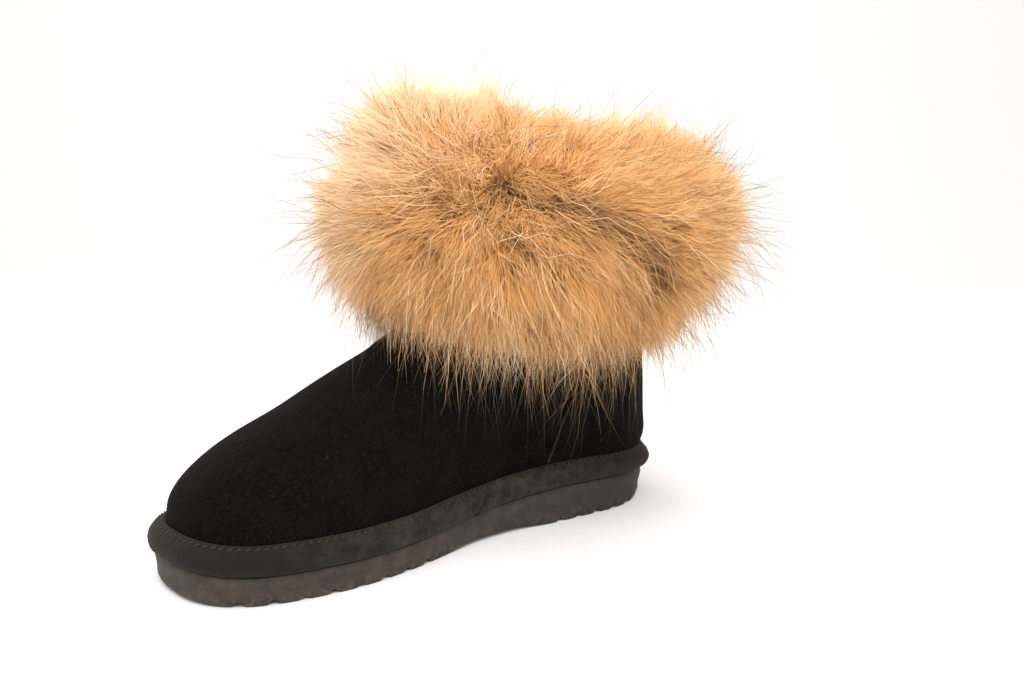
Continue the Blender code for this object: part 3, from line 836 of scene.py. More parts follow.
@dataclass(frozen=True)
class Wool(Finish):
    """Clipped sheep's wool of the lining and the insole: small curls, with painted light and
    shade that makes their tops paler and the hollows between them darker.
    """

    name: str = "charcoal_wool"
    dark: str = "#1a1715"
    pale: str = "#3a3531"

    def build(self) -> bpy.types.Material:
        """Makes the material: curls 2.4 mm across, and fibre drawn 0.8 mm wide so that it
        shows.

        Returns:
            The material.
        """
        s = Shader(self.name)
        place = s.add("TexCoord", out="Object")
        curl = s.add("TexVoronoi", Vector=place, Scale=1.0 / 0.0024)
        fibre = s.add("TexNoise", Vector=place, Scale=1.0 / 0.0008, Detail=3.0, Roughness=0.7)
        height = s.add("Math", MULTIPLY_ADD, i0=curl, i1=-0.9, i2=fibre)
        # Painted light and shade: paler on the curls' tops and darker in the hollows between them,
        # by the bump's height.
        share = s.add("MapRange", Value=height, From_Min=-0.45, From_Max=0.35)
        colour = s.add("Mix", RGBA, 2, Factor=share, i6=linear(self.dark), i7=linear(self.pale))
        return s.finish(Base_Color=colour, Roughness=0.98, Specular_IOR_Level=0.1,
                        Sheen_Weight=0.25, Sheen_Roughness=0.5, Sheen_Tint=linear("#9a9088"),
                        Normal=s.add("Bump", Height=height, Distance=0.0011))


@dataclass(frozen=True)
class Thread(Finish):
    """Bonded black polyester sewing thread: a faint gloss, and paler flecks painted as glints."""

    name: str = "black_thread"
    colour: str = "#1d1b19"
    painted_glint: str = "#34302c"

    def build(self) -> bpy.types.Material:
        """Makes the material: the thread's 0.5 mm twist, with painted glints along it.

        Returns:
            The material.
        """
        s = Shader(self.name)
        place = s.add("TexCoord", out="Object")
        # Painted glints: paler flecks along the thread's twist.
        colour, noises = s.patches(place, linear(self.colour),
                                   (0.0005, 1.0, 0.5, 0.4, 0.6, 1.0, self.painted_glint))
        return s.finish(Base_Color=colour, Roughness=0.62, Specular_IOR_Level=0.3,
                        Normal=s.add("Bump", Height=noises[0], Distance=0.0001))


class HairTone(Enum):
    """Colours of hair from root to tip, as stops of a place and a colour."""

    DUSK = ((0.00, "#2f2219"), (0.35, "#553b28"), (0.65, "#835a37"), (1.00, "#b07d4a"))
    GINGER = ((0.00, "#b77635"), (0.35, "#d3904b"), (0.65, "#e5a761"), (1.00, "#efbd80"))
    PALE = ((0.00, "#dfac72"), (0.35, "#efc18d"), (0.65, "#f5d0a5"), (1.00, "#fae0c4"))
    CREAM = ((0.00, "#c08c50"), (0.40, "#e8c38b"), (0.75, "#f6dcb2"), (1.00, "#fbebcf"))
    SABLE = ((0.00, "#a97745"), (0.58, "#c08d56"), (0.80, "#4a3626"), (1.00, "#17110d"))
    # Grey-brown guard hair: partly its own colour, and its greyness partly painted highlight for
    # the gloss on dark hairs.
    ASH_AND_HIGHLIGHT = ((0.00, "#b08a5c"), (0.40, "#8f785c"), (0.75, "#6f6252"), (1.00, "#5a5047"))


@dataclass(frozen=True)
class Hair(Finish):
    """Animal hair with a soft gloss. UV u is each hair's tone and v runs from root to tip.

    The tones are blended by u: the first near 0, the second near the middle, the third near 1.
    """

    tones: tuple[HairTone, HairTone, HairTone]
    low: tuple[float, float] = (0.06, 0.38)
    high: tuple[float, float] = (0.55, 0.98)
    roughness: float = 0.55

    def build(self) -> bpy.types.Material:
        """Makes the material: one colour ramp from root to tip for each tone.

        Returns:
            The material.
        """
        s = Shader(self.name)
        uv = s.add("UVMap")
        tone = s.add("SeparateXYZ", Vector=uv, out="X")
        v = s.add("SeparateXYZ", Vector=uv, out="Y")
        one, two, three = (s.add("ValToRGB", {"stops": stops.value}, Fac=v)
                           for stops in self.tones)
        for (low, high), more in ((self.low, two), (self.high, three)):
            share = s.add("MapRange", Value=tone, From_Min=low, From_Max=high)
            one = s.add("Mix", RGBA, 2, Factor=share, i6=one, i7=more)
        return s.finish(Base_Color=one, Roughness=self.roughness, Specular_IOR_Level=0.25,
                        Sheen_Weight=0.22, Sheen_Roughness=0.5, Sheen_Tint=linear("#ffdcae"))


@dataclass(frozen=True)
class Pelt(Finish):
    """The crinkled wool next to the pelt: warm ginger, and dark brown where the hair parts."""

    name: str = "pelt_wool"
    dark: str = "#3d291c"
    warm: str = "#c48a4c"
    pale: str = "#dba768"

    def build(self) -> bpy.types.Material:
        """Makes the material: crinkled locks 3 mm across. UV u is 0 in a parting and 1 away
        from it.

        Returns:
            The material.
        """
        s = Shader(self.name)
        open_fur = s.add("SeparateXYZ", Vector=s.add("UVMap"), out="X")
        colour, noises = s.patches(s.add("TexCoord", out="Object"), linear(self.warm),
                                   (0.003, 4.0, 0.7, 0.35, 0.68, 1.0, self.pale))
        share = s.add("MapRange", Value=open_fur, From_Min=0.2, From_Max=0.9)
        colour = s.add("Mix", RGBA, 2, Factor=share, i6=linear(self.dark), i7=colour)
        return s.finish(Base_Color=colour, Roughness=1.0, Specular_IOR_Level=0.05,
                        Normal=s.add("Bump", Height=noises[0], Distance=0.0015))


@dataclass
class Sole:
    """The moulded foam outsole with scalloped tread.

    Worn is how deep the grooves are left at the edge, rises are the rings up the side as shares
    of its height, treads are where the ribs are along the boot, and groove_flare is how far a
    groove goes from its middle, as a share of its width.
    """

    last: Last
    around: int = 720
    across: int = 14
    worn: float = 0.80
    rises: tuple[float, ...] = (0.0, 0.05, 0.12, 0.22, 0.34, 0.48, 0.62, 0.76, 0.88, 0.95, 1.0)
    treads: tuple[tuple[float, float], ...] = ((0.02, 0.30), (0.575, 0.975))
    groove_flare: float = 0.66

    def grooves(self, x: Array, along: Array) -> Array:
        """Depth of the tread grooves: a cosine squared over a little more than their width.

        Args:
            x: X of the places.
            along: Their shares of the length.

        Returns:
            The depths, 0 away from the treads.
        """
        s = self.last.sizes
        step = np.abs((x / s.rib_pitch) % 1.0 - 0.5) * s.rib_pitch
        share = np.clip(step / (s.rib_groove_width * self.groove_flare), 0.0, 1.0)
        ribbed = sum((along > start) & (along < end) for start, end in self.treads)
        return s.rib_groove_depth * np.cos(share * math.pi / 2) ** 2 * ribbed

    def low(self, x: Array, worn: float = 1.0) -> Array:
        """Height of the tread at this X, with the grooves a share as deep, unevenly.

        Args:
            x: X of the places.
            worn: The share.

        Returns:
            The heights. Two sines, 15 and 36 mm long, make the grooves uneven.
        """
        along = self.last.along_at(x)
        uneven = 1.0 + 0.25 * np.sin(x * 410.0 + 1.0) * np.sin(x * 173.0)
        return self.last.under(along) + self.grooves(x, along) * worn * uneven

    def side(self) -> Array:
        """Makes the rings up the side.

        Returns:
            Their points: the outline drawn in by a share of the taper, with low waves in the
            middle of the height.
        """
        last, s = self.last, self.last.sizes
        outline = last.outline(self.around)
        out = last.outward(outline)
        heel = last.heel_share(last.along_at(outline[:, 0]))
        taper = s.toe_taper + (s.heel_taper - s.toe_taper) * heel
        rings = []
        for rise, share in zip(self.rises, through(SOLE_SIDE["rise"], SOLE_SIDE["inside"],
                                                   self.rises)):
            flat = outline - out * (taper * share)[:, None]
            low, high = self.low(flat[:, 0], self.worn), last.top_at(flat[:, 0])
            spots = np.column_stack([flat, np.full(self.around, rise * 0.01)])
            wave = ripples(spots, (0.006, 0.00012, 5)) * math.sin(math.pi * rise)
            rings.append(np.column_stack([flat + out * wave[:, None], low + (high - low) * rise]))
        return np.concatenate(rings)

    def face(self, points: Array, base: int, height: Callable[[Array], Array],
             flip: bool) -> tuple[Array, list[Array]]:
        """Fills a ring of the side with lines across the sole.

        Args:
            points: All the points so far.
            base: Number of the ring's first point in them.
            height: Gives the face's height at any X.
            flip: Whether its faces are wound the other way.

        Returns:
            The points with the lines' own behind them, and the new faces: quads between the
            lines, and triangles at the heel and the toe.
        """
        half, inside = self.around // 2, self.across - 2
        first = np.arange(1, half)
        share = np.linspace(0.0, 1.0, self.across)[1:-1]
        inner, outer = points[base + first], points[base + self.around - first]
        lines = inner[:, None] + (outer - inner)[:, None] * share[None, :, None]
        lines[:, :, 2] = height(lines[:, :, 0])
        numbers = len(points) + np.arange(len(first) * inside).reshape(-1, inside)
        numbers = np.column_stack([base + first, numbers, base + self.around - first])
        quads = np.stack([numbers[:-1, :-1], numbers[1:, :-1], numbers[1:, 1:],
                          numbers[:-1, 1:]], axis=-1).reshape(-1, 4)
        end = np.full(self.across - 1, base)
        tris = np.concatenate([
            np.stack([end, numbers[0, :-1], numbers[0, 1:]], 1),
            np.stack([end + half, numbers[-1, 1:], numbers[-1, :-1]], 1)])
        faces = [quads[:, ::-1], tris[:, ::-1]] if flip else [quads, tris]
        return np.concatenate([points, lines.reshape(-1, 3)]), faces

    def build(self) -> bpy.types.Object:
        """Makes the outsole: rings up its side, and lines across it below and above.

        Returns:
            The outsole, in foam.
        """
        points = self.side()
        top = len(points) - self.around
        faces = [ring_faces(len(self.rises), self.around, flip=True)]
        for base, height in ((0, self.low), (top, self.last.top_at)):
            points, more = self.face(points, base, height, base == top)
            faces += more
        return add_mesh("sole_foam", points, faces, Foam())


@dataclass
class Binding:
    """The microfibre strip over the joint of sole and upper, with its butt joint and stitches.

    Joint_top and joint_foot are where the butt joint is, as shares of the way round, and
    stitch_place is a rise and an out as in BINDING_SECTION. The other sizes are in metres.
    """

    last: Last
    around: int = 900
    stitch_count: int = 176
    stitch_length: float = 0.0024
    stitch_radius: float = 0.00034
    stitch_dip: float = 0.00016
    stitch_place: tuple[float, float] = (0.965, -0.27)
    joint_top: float = 0.2255
    joint_foot: float = 0.2470
    length_round: float = 0.62
    lap_height: float = 0.0008
    lap_run: float = 0.007
    gap_place: float = 0.0007
    gap_depth: float = 0.0024
    gap_width: float = 0.0008

    def section_ring(self, rise: float, out: float, outline: Array) -> Array:
        """Makes one ring along the strip.

        Args:
            rise: Its place in the section, a share of the strip's height.
            out: The same as in BINDING_SECTION.
            outline: The outsole's outline.

        Returns:
            The ring.
        """
        last, s = self.last, self.last.sizes
        along = last.along_at(outline[:, 0])
        reach = last.binding_bulge(along) if out > 0 else last.suede_depth(along) + s.fit_gap
        flat = outline + last.outward(outline) * (reach * out)[:, None]
        return np.column_stack([flat, last.top(along) + s.fit_gap + rise * s.binding_height])

    def relief(self, ring: Array, rise: float) -> Array:
        """How far a ring of the strip stands out from the plain section.

        Args:
            ring: The ring's points.
            rise: Its place in the section, a share of the strip's height.

        Returns:
            Low lumps, the stitches' pucker on the upper edge, and at the butt joint an end that
            laps up to a narrow gap.
        """
        share = np.arange(self.around) / self.around
        phase = np.cos(share * self.stitch_count * 2 * math.pi)
        pucker = ripples(ring, (0.009, 0.00022, 11), (0.0035, 0.00010, 12))
        pucker += phase * self.stitch_dip * smooth_step((rise - 0.70) / 0.2)
        joint = self.joint_foot + (self.joint_top - self.joint_foot) * rise
        gap = (share - joint) * self.length_round
        lap = self.lap_height * np.exp(-(np.abs(gap) / self.lap_run)) * (gap < 0)
        return pucker + lap - self.gap_depth * bell((gap - self.gap_place) / self.gap_width)

    def build(self) -> list[bpy.types.Object]:
        """Makes the strip and its stitches.

        Returns:
            The strip, and the row of stitches along its upper edge.
        """
        outline = self.last.outline(self.around)
        out = np.column_stack([self.last.outward(outline), np.zeros(self.around)])
        rings = []
        for rise, reach in zip(*BINDING_SECTION.values()):
            ring = self.section_ring(rise, reach, outline)
            open_face = np.clip(reach + 0.9, 0.0, 1.0)
            rings.append(ring + out * (self.relief(ring, rise) * open_face)[:, None])
        return [add_shell("binding_strip", np.array(rings), Microfibre()), self.stitches()]

    def stitches(self) -> bpy.types.Object:
        """Makes the slanted stitches that hold the strip's upper edge to the upper.

        Returns:
            The row of stitches.
        """
        ring = self.section_ring(*self.stitch_place, self.last.outline(self.stitch_count))
        out = np.column_stack([self.last.outward(ring), np.zeros(len(ring))])
        run = unit(np.roll(ring, -1, axis=0) - np.roll(ring, 1, axis=0))
        run = unit(run - (0.0, 0.0, 0.35) + out * 0.25)
        return stitch_row("strip_stitches", ring + out * 0.0001, run, self.stitch_length,
                          self.stitch_radius)


def stitch_row(name: str, centres: Array, runs: Array, length: float,
               radius: float) -> bpy.types.Object:
    """Makes a row of stitches as one mesh.

    Each stitch is a spindle of four rings of six points and two poles, narrower at its ends.

    Args:
        name: The piece's name.
        centres: Middle of each stitch.
        runs: Unit direction of each stitch.
        length: Length of a stitch in metres.
        radius: Its radius in metres.

    Returns:
        The stitches, in thread.
    """
    turn = np.arange(6) * math.pi / 3
    side = unit(np.cross(runs, (0.0, 0.0, 1.0)))
    rise = np.cross(side, runs)
    shares = np.array([-0.42, -0.2, 0.2, 0.42])
    widths = np.array([0.55, 1.0, 1.0, 0.55])
    around = np.cos(turn)[:, None, None] * side[None] + np.sin(turn)[:, None, None] * rise[None]
    rings = (centres[None, None] + runs[None, None] * (shares * length)[:, None, None, None]
             + around[None] * (widths * radius)[:, None, None, None])
    rings = rings.transpose(2, 0, 1, 3).reshape(len(centres), -1, 3)
    poles = np.stack([centres - runs * length / 2, centres + runs * length / 2], axis=1)
    points = np.concatenate([rings, poles], axis=1)
    spot = np.arange(6)
    after = (spot + 1) % 6
    ends = np.concatenate([np.stack([after, spot, np.full(6, 24)], 1),
                           np.stack([18 + spot, 18 + after, np.full(6, 25)], 1)])
    first = (np.arange(len(centres)) * points.shape[1])[:, None, None]
    faces = [(ring_faces(4, 6)[None] + first).reshape(-1, 4), (ends[None] + first).reshape(-1, 3)]
    return add_mesh(name, points.reshape(-1, 3), faces, Thread())


@dataclass
class Upper:
    """The suede upper with its side seams, the wool lining and the wool insole.

    Sizes are in metres. Half_round is the way from heel to toe. Seam_start and seam_end are
    shares of the upper's rings. The creases are within crease_band off the floor and away from
    the middle plane, and the heel's relief is behind heel_start.
    """

    last: Last
    around: int = 300
    levels: int = 90
    suede: float = 0.0015
    half_round: float = 0.29
    seam_start: float = 0.09
    seam_end: float = 0.72
    seam_steps: int = 220
    edge_points: int = 12
    edge_width: float = 0.0007
    edge_height: float = 0.00055
    stitch_length: float = 0.0015
    stitch_radius: float = 0.00026
    crease_height: float = 0.085
    crease_band: tuple[float, float] = (0.040, 0.115)
    crease_side: float = 0.006
    heel_start: float = 0.012
    seam_gap: float = 0.0001
    pile: float = 0.0030
    rim: float = 0.0032
    insole_edge: float = 0.0004

    def seam_at(self, rows: Array) -> Array:
        """Where the side seam crosses these control rings, as a share of heel to toe.

        Args:
            rows: Numbers of the rings, fractions too.

        Returns:
            The shares.
        """
        foot, top = 2, self.last.last_row
        share = np.clip((rows - foot) / (top - foot), 0.0, 1.0)
        return through(SEAM_ROWS["up"], SEAM_ROWS["around"], share)

    def folds(self, grid: Array, rows: Array) -> Array:
        """Works out the upper's soft folds: waves, creases, a full instep and the seams' troughs.

        Args:
            grid: The upper's rings.
            rows: Their numbers among the control rings.

        Returns:
            Height over the plain form in metres. Each crease is a bell across its line with a
            lower one beside it, and fades out above, below and in front.
        """
        x, y, z = grid[..., 0], grid[..., 1], grid[..., 2]
        relief = ripples(grid, (0.055, 0.0007, 21), (0.022, 0.0003, 22))
        low, high = self.crease_band
        fade = smooth_step((z - low) / 0.030) * smooth_step((high - z) / 0.02)
        fade *= smooth_step((np.abs(y) - self.crease_side) / 0.022)
        for start, slope, wide, deep in zip(*CREASES.values()):
            line = ((x - start) + slope * (z - self.crease_height)) / wide
            relief += deep * fade * (0.7 * bell(line - 1.6) - bell(line))
        for spot, wide, middle, half, out in zip(*INSTEP_FILL.values()):
            relief += out * bell((x - spot) / wide) * bell((y - middle) / half)
        back = smooth_step((x - self.heel_start) / 0.020)
        for level, wide, out in zip(*HEEL_RELIEF.values()):
            relief += out * back * bell((z - level) / wide)
        share = np.arange(grid.shape[1]) / (grid.shape[1] / 2)
        share = np.where(share > 1.0, 2.0 - share, share)
        seam = (share[None] - self.seam_at(rows)[:, None]) * self.half_round
        for place, wide, out in zip(*SEAM_RELIEF.values()):
            relief += out * bell((seam - place) / wide)
        return relief * smooth_step((rows - 2.0) / 1.2)[:, None]

    def build(self) -> list[bpy.types.Object]:
        """Makes the suede shell, its seams, the lining and the insole.

        Returns:
            The pieces, the shell first and the insole last.
        """
        rows = np.linspace(1.0, self.last.last_row, self.levels)
        plain = self.last.upper_grid(self.around, rows)
        normals = grid_normals(plain)
        outer = plain + normals * self.folds(plain, rows)[..., None]
        inner = plain - normals * self.suede
        inner[-1] = outer[-1] - normals[-1] * self.suede
        shell = add_shell("suede_upper", np.concatenate([outer, inner[::-1]]), Suede())
        return [shell, *self.seams(outer, normals), self.lining(plain, normals), self.insole()]

    def seams(self, outer: Array, normals: Array) -> list[bpy.types.Object]:
        """Makes the raised edge of the heel panel and the stitches beside it, on both sides.

        Args:
            outer: The suede's outer face.
            normals: Its normals.

        Returns:
            An edge and its stitches for the inner side, and then for the outer.
        """
        steps = np.linspace(self.seam_start, self.seam_end, self.seam_steps)
        rows = steps * (len(outer) - 1)
        share = self.seam_at(1 + steps * (self.last.last_row - 1))
        # The seam's edge is paler: partly rubbing and dust, partly painted highlight along the
        # ridge.
        worn = Suede("rubbed_and_highlit_suede_edge", "#1c1a18", "#35312d", "#4e4841", "#2f2721", 0.12)
        made = []
        for name, side in (("inner", 1), ("outer", -1)):
            column = share * (self.around / 2) * side % self.around
            middle = read_grid(outer, rows, column)
            out = unit(read_grid(normals, rows, column))
            run = unit(np.gradient(middle, axis=0))
            across = np.cross(run, out) * side
            turn = np.linspace(0, 2 * math.pi, self.edge_points, endpoint=False)
            wide, high = np.cos(turn) * self.edge_width, np.sin(turn) * self.edge_height
            tube = (middle[:, None] + across[:, None] * wide[None, :, None]
                    + out[:, None] * (high[None, :, None] + self.seam_gap))
            foot = np.arange(self.edge_points)[None]
            top = foot + (len(tube) - 1) * self.edge_points
            ends = [foot, top[:, ::-1]] if side < 0 else [foot[:, ::-1], top]
            faces = [ring_faces(*tube.shape[:2], flip=side < 0), *ends]
            pick = np.arange(3, len(middle) - 3, 4)
            made += [
                add_mesh(f"seam_edge_{name}", tube.reshape(-1, 3), faces, worn),
                stitch_row(f"seam_stitches_{name}", middle[pick] + out[pick] * 0.0005,
                           unit(run[pick] + across[pick] * 0.6), self.stitch_length,
                           self.stitch_radius)]
        return made

    def lining(self, plain: Array, normals: Array) -> bpy.types.Object:
        """Makes the wool lining, whose pile is thicker towards the collar and curls over it.

        Args:
            plain: The upper's plain form.
            normals: Its normals.

        Returns:
            The lining: its back on the suede, a half-round rim, and the pile's face.
        """
        plain, normals = plain[::2, ::2], normals[::2, ::2]
        up = np.linspace(0.0, 1.0, len(plain))[:, None]
        pile = self.pile * (1.0 + smooth_step((up - 0.15) / 0.5))
        curl = ripples(plain, (0.0060, 0.0009, 31), (0.0033, 0.0006, 32))
        inner = plain - normals * (pile + curl * smooth_step((up - 0.1) / 0.2))[..., None]
        back = plain - normals * (self.suede + 0.0001)
        turn = np.linspace(0.0, math.pi, 7)[1:-1, None, None]
        middle, half = (inner[-1] + back[-1]) / 2, (inner[-1] - back[-1]) / 2
        rim = middle - half * np.cos(turn) + np.array([0, 0, self.rim]) * np.sin(turn)
        return add_shell("wool_lining", np.concatenate([back, rim, inner[::-1]]), Wool())

    def insole(self) -> bpy.types.Object:
        """Makes the insole: its outline drawn in towards the middle line, its pile in low lumps.

        Returns:
            The insole, in wool.
        """
        last, s = self.last, self.last.sizes
        outline = last.outline(self.around)
        inset = s.binding_depth + s.upper_wall + 2 * s.fit_gap + self.insole_edge
        middle = np.stack([outline[:, 0], last.centre(last.along_at(outline[:, 0]))], 1)
        middle[:, 0] = np.clip(middle[:, 0], last.x_at(0.90), last.x_at(0.10))
        edge = outline - last.outward(outline) * inset
        rings = []
        for share, rise in ((0.97, 0.0), (0.0, 0.0), (0.0, 0.7), (0.03, 0.92), (0.07, 1.0),
                            *((k / 12, 1.0) for k in range(2, 12)), (0.97, 1.0)):
            flat = edge + (middle - edge) * share
            level = last.top_at(flat[:, 0]) + s.fit_gap + s.insole_thickness * rise
            ring = np.column_stack([flat, level])
            if rise > 0:
                ring[:, 2] += ripples(ring, (0.006, 0.0005, 33)) * min(1.0, share * 10)
            rings.append(ring)
        return add_shell("wool_insole", np.array(rings),
                         Wool("pile_insole", "#1d1a18", "#403a35"))


@dataclass
class Flow:
    """How one layer of hair grows. Lengths are in metres, and places along the fur's section
    0 to 1.

    Attributes:
        name: The piece's name.
        count: Number of hairs.
        seed: Chooses its random numbers.
        place: Where its hair grows, from and to.
        length: Shortest and longest hair.
        width: Width of a hair's ribbon.
        clumps: Number of clumps.
        finish: What it is made of.
        spread: How far a hair stands from the middle of its clump.
        pull: Share of the way that a tip is drawn to its clump's.
        lift: How much of the skin's normal a hair's direction has.
        stray: How far a hair turns from its neighbours.
        droop: Share of its length that a tip hangs down.
        start: Where a root lies, as a share of the way from the shaft to the skin.
        crimp: Size of its waves.
        stations: Number of straight stretches in a ribbon.
        bright: The least and the greatest tone.
        locks: Number of locks, which each gather many clumps.
        lock_pull: The same as pull, towards the lock.
        twist: How far a ribbon is turned about its length, in radians.
        twist_limit: The farthest that one is turned.
        parted: How much more hair in a parting is crimped.
        thickness: Range of a ribbon's width against the layer's.
        blunt: What the taper starts from, held to 1, so that a ribbon is full near its root.
        taper: The power of the way along it that its width falls with.
        own_shade: How much of a ribbon's own normal is in its shading.
        mixed_shade: How far that shading strays.
    """

    name: str
    count: int
    seed: int
    place: tuple[float, float]
    length: tuple[float, float]
    width: float
    clumps: int
    finish: Hair
    spread: float = 0.0035
    pull: float = 0.38
    lift: float = 0.62
    stray: float = 0.30
    droop: float = 0.10
    start: float = 0.74
    crimp: float = 0.0007
    stations: int = 3
    bright: tuple[float, float] = (0.36, 0.64)
    locks: int = 520
    lock_pull: float = 0.30
    twist: float = 0.35
    twist_limit: float = 1.2
    parted: float = 1.6
    thickness: tuple[float, float] = (0.7, 1.3)
    blunt: float = 1.15
    taper: float = 1.6
    own_shade: float = 0.45
    mixed_shade: float = 0.12


@dataclass
class FurCuff:
    """The fur cuff: a woolly pelt, dense hair in pointed clumps, and long guard hairs.

    Places on it are given by around, 0 to 1 round the boot from the back of the heel, and by
    place, 0 to 1 over the fur's section from its lower inner edge to its upper inner edge.

    Attributes:
        last: The forms that the boot is built on.
        columns: Number of points round the boot in the tables.
        rows: Number of points over the section.
        shaft_rows: Number of rings that the shaft is read at.
        girth: The metres that around goes through.
        depth: The metres that place goes through.
        pelt_share: Where the pelt is on the way from the shaft to the skin.
        whorl: Around and place of the spot that the hair near it lies away from.
        whorl_scale: How many whorl units around and place go through.
        whorl_reach: How far the whorl turns the hair, in those units, as are the next two.
        heart_reach: How far the whorl's heart goes, where hair stands up.
        tousle_reach: How far its hair is tousled.
        tousle: How much it is tousled.
        clump_turn: How far a clump turns from its neighbours.
        clump_long: Range of the clumps' lengths against the layer's.
        lock_long: The same for the locks.
        tip_rise: How far out a tip goes before its length counts, as a share of the root's
            depth under the skin.
        bend_rise: The same for the middle control point.
        bend_lift: Share of a hair's length that its middle control point goes out.
        bend_way: The same for along its way.
        low_limit: Lowest X, Y and Z that a hair reaches, in metres.
        high_limit: Highest X, Y and Z.
        tables: The skin, the roots and the directions, which prepare works out.
    """

    last: Last
    columns: int = 256
    rows: int = 65
    shaft_rows: int = 200
    girth: float = 0.50
    depth: float = 0.21
    pelt_share: float = 0.84
    whorl: tuple[float, float] = (0.398, 0.60)
    whorl_scale: tuple[float, float] = (7.0, 3.4)
    whorl_reach: float = 1.1
    heart_reach: float = 0.75
    tousle_reach: float = 0.8
    tousle: float = 0.9
    clump_turn: float = 0.28
    clump_long: tuple[float, float] = (0.75, 1.15)
    lock_long: tuple[float, float] = (0.80, 1.20)
    tip_rise: float = 0.85
    bend_rise: float = 0.95
    bend_lift: float = 0.22
    bend_way: float = 0.12
    low_limit: tuple[float, float, float] = (-0.236, -0.124, 0.0)
    high_limit: tuple[float, float, float] = (0.115, 0.122, 0.2235)
    tables: dict[str, Array] = field(default_factory=dict)

    def spots(self) -> list[Array]:
        """Around and place at every point of the tables.

        Returns:
            Two arrays, one row for each place.
        """
        return np.meshgrid(np.arange(self.columns) / self.columns,
                           np.linspace(0.0, 1.0, self.rows))

    def prepare(self) -> None:
        """Works out the hair's skin and its directions as tables over place and around."""
        s = self.last.sizes
        shaft = self.last.upper_grid(self.columns,
                                     np.linspace(2.0, self.last.last_row, self.shaft_rows))
        out2 = self.last.outward(shaft[-1])
        ahead = -out2[:, 0]
        bottom = s.fur_bottom + s.fur_front_lift * smooth_step(ahead)
        bottom += s.fur_back_lift * smooth_step(-ahead)
        places = np.linspace(0.0, 1.0, self.rows)
        rows = np.linspace(0.0, 1.0, len(FUR_ROWS["out"]))
        out = through(rows, FUR_ROWS["out"], places)[:, None]
        up = through(rows, FUR_ROWS["up"], places)[:, None]
        heights = (bottom + np.clip(up, 0.0, 1.0) * (s.collar_height - bottom)
                   + np.minimum(up, 0.0) * s.fur_drop
                   + np.maximum(up - 1.0, 0.0) * (s.fur_rise + s.fur_lean * ahead))
        rise = np.maximum.accumulate(shaft[..., 2], axis=0)
        level = np.minimum(heights, s.collar_height)
        below = (rise[None] < level[:, None]).sum(axis=1).clip(1, self.shaft_rows - 1)
        column = np.arange(self.columns)[None]
        low, high = rise[below - 1, column], rise[below, column]
        share = np.clip((level - low) / np.maximum(high - low, 1e-9), 0.0, 1.0)[..., None]
        wall = shaft[below - 1, column, :2] * (1 - share) + shaft[below, column, :2] * share
        tuck = s.heel_tuck * smooth_step(-ahead) * smooth_step((0.62 - places) / 0.35)[:, None]
        flat = wall + out2 * (out * (s.fur_reach - tuck))[..., None]
        face = np.concatenate([flat, heights[..., None]], axis=2)
        shift = self.bumps(LOBES, "out", *self.spots())
        shift -= through(HAIR_ROWS["place"], HAIR_ROWS["in"], places)[:, None]
        face = face + grid_normals(face) * shift[..., None]
        self.tables = {"face": face, "root": np.concatenate([wall, level[..., None]], axis=2),
                       "normal": grid_normals(face),
                       "round": unit(np.roll(face, -1, axis=1) - np.roll(face, 1, axis=1)),
                       "section": unit(np.gradient(face, axis=0))}

    @staticmethod
    def apart(around: Array, spot: float) -> Array:
        """How far round the boot from a spot, the shorter way, as a share from -0.5 to 0.5."""
        return (around - spot + 0.5) % 1.0 - 0.5

    def bumps(self, rows: dict, height: str, around: Array, place: Array) -> Array:
        """The sum of a table's bumps at places on the fur.

        Args:
            rows: The table, with columns around, place, wide and tall.
            height: The name of the column that has the bumps' heights.
            around: Places round the boot.
            place: Places over the section.

        Returns:
            The heights, each bump a bell in both directions.
        """
        total = np.zeros(np.shape(around))
        for spot, level, wide, tall, high in zip(rows["around"], rows["place"], rows["wide"],
                                                 rows["tall"], rows[height]):
            total += high * bell(self.apart(around, spot) / wide) * bell((place - level) / tall)
        return total

    def parting(self, around: Array, place: Array) -> Array:
        """How far places on the fur are in a parting, 0 to 1."""
        return np.clip(self.bumps(DARK_PATCHES, "deep", around, place), 0.0, 1.0)

    def look(self, table: str, around: Array, place: Array) -> Array:
        """Reads a table at places on the fur, straight between its rows and columns.

        Args:
            table: The table's name.
            around: Places round the boot.
            place: Places over the section.

        Returns:
            The values there.
        """
        rows = np.clip(place, 0.0, 1.0) * (self.rows - 1)
        return read_grid(self.tables[table], rows, (around % 1.0) * self.columns)

    def pelt(self) -> bpy.types.Object:
        """Makes the woolly body under the hair: the skin drawn in towards the shaft.

        Returns:
            The pelt, with UV u 0 in a parting and 1 away from it.
        """
        root, face = self.tables["root"], self.tables["face"]
        grid = root + (face - root) * self.pelt_share
        grid = grid + self.tables["normal"] * ripples(grid, (0.010, 0.0014, 41))[..., None]
        around, place = self.spots()
        uv = np.stack([1.0 - self.parting(around, place), place], axis=-1).reshape(-1, 2)
        return add_shell("pelt_body", grid, Pelt(), uv)

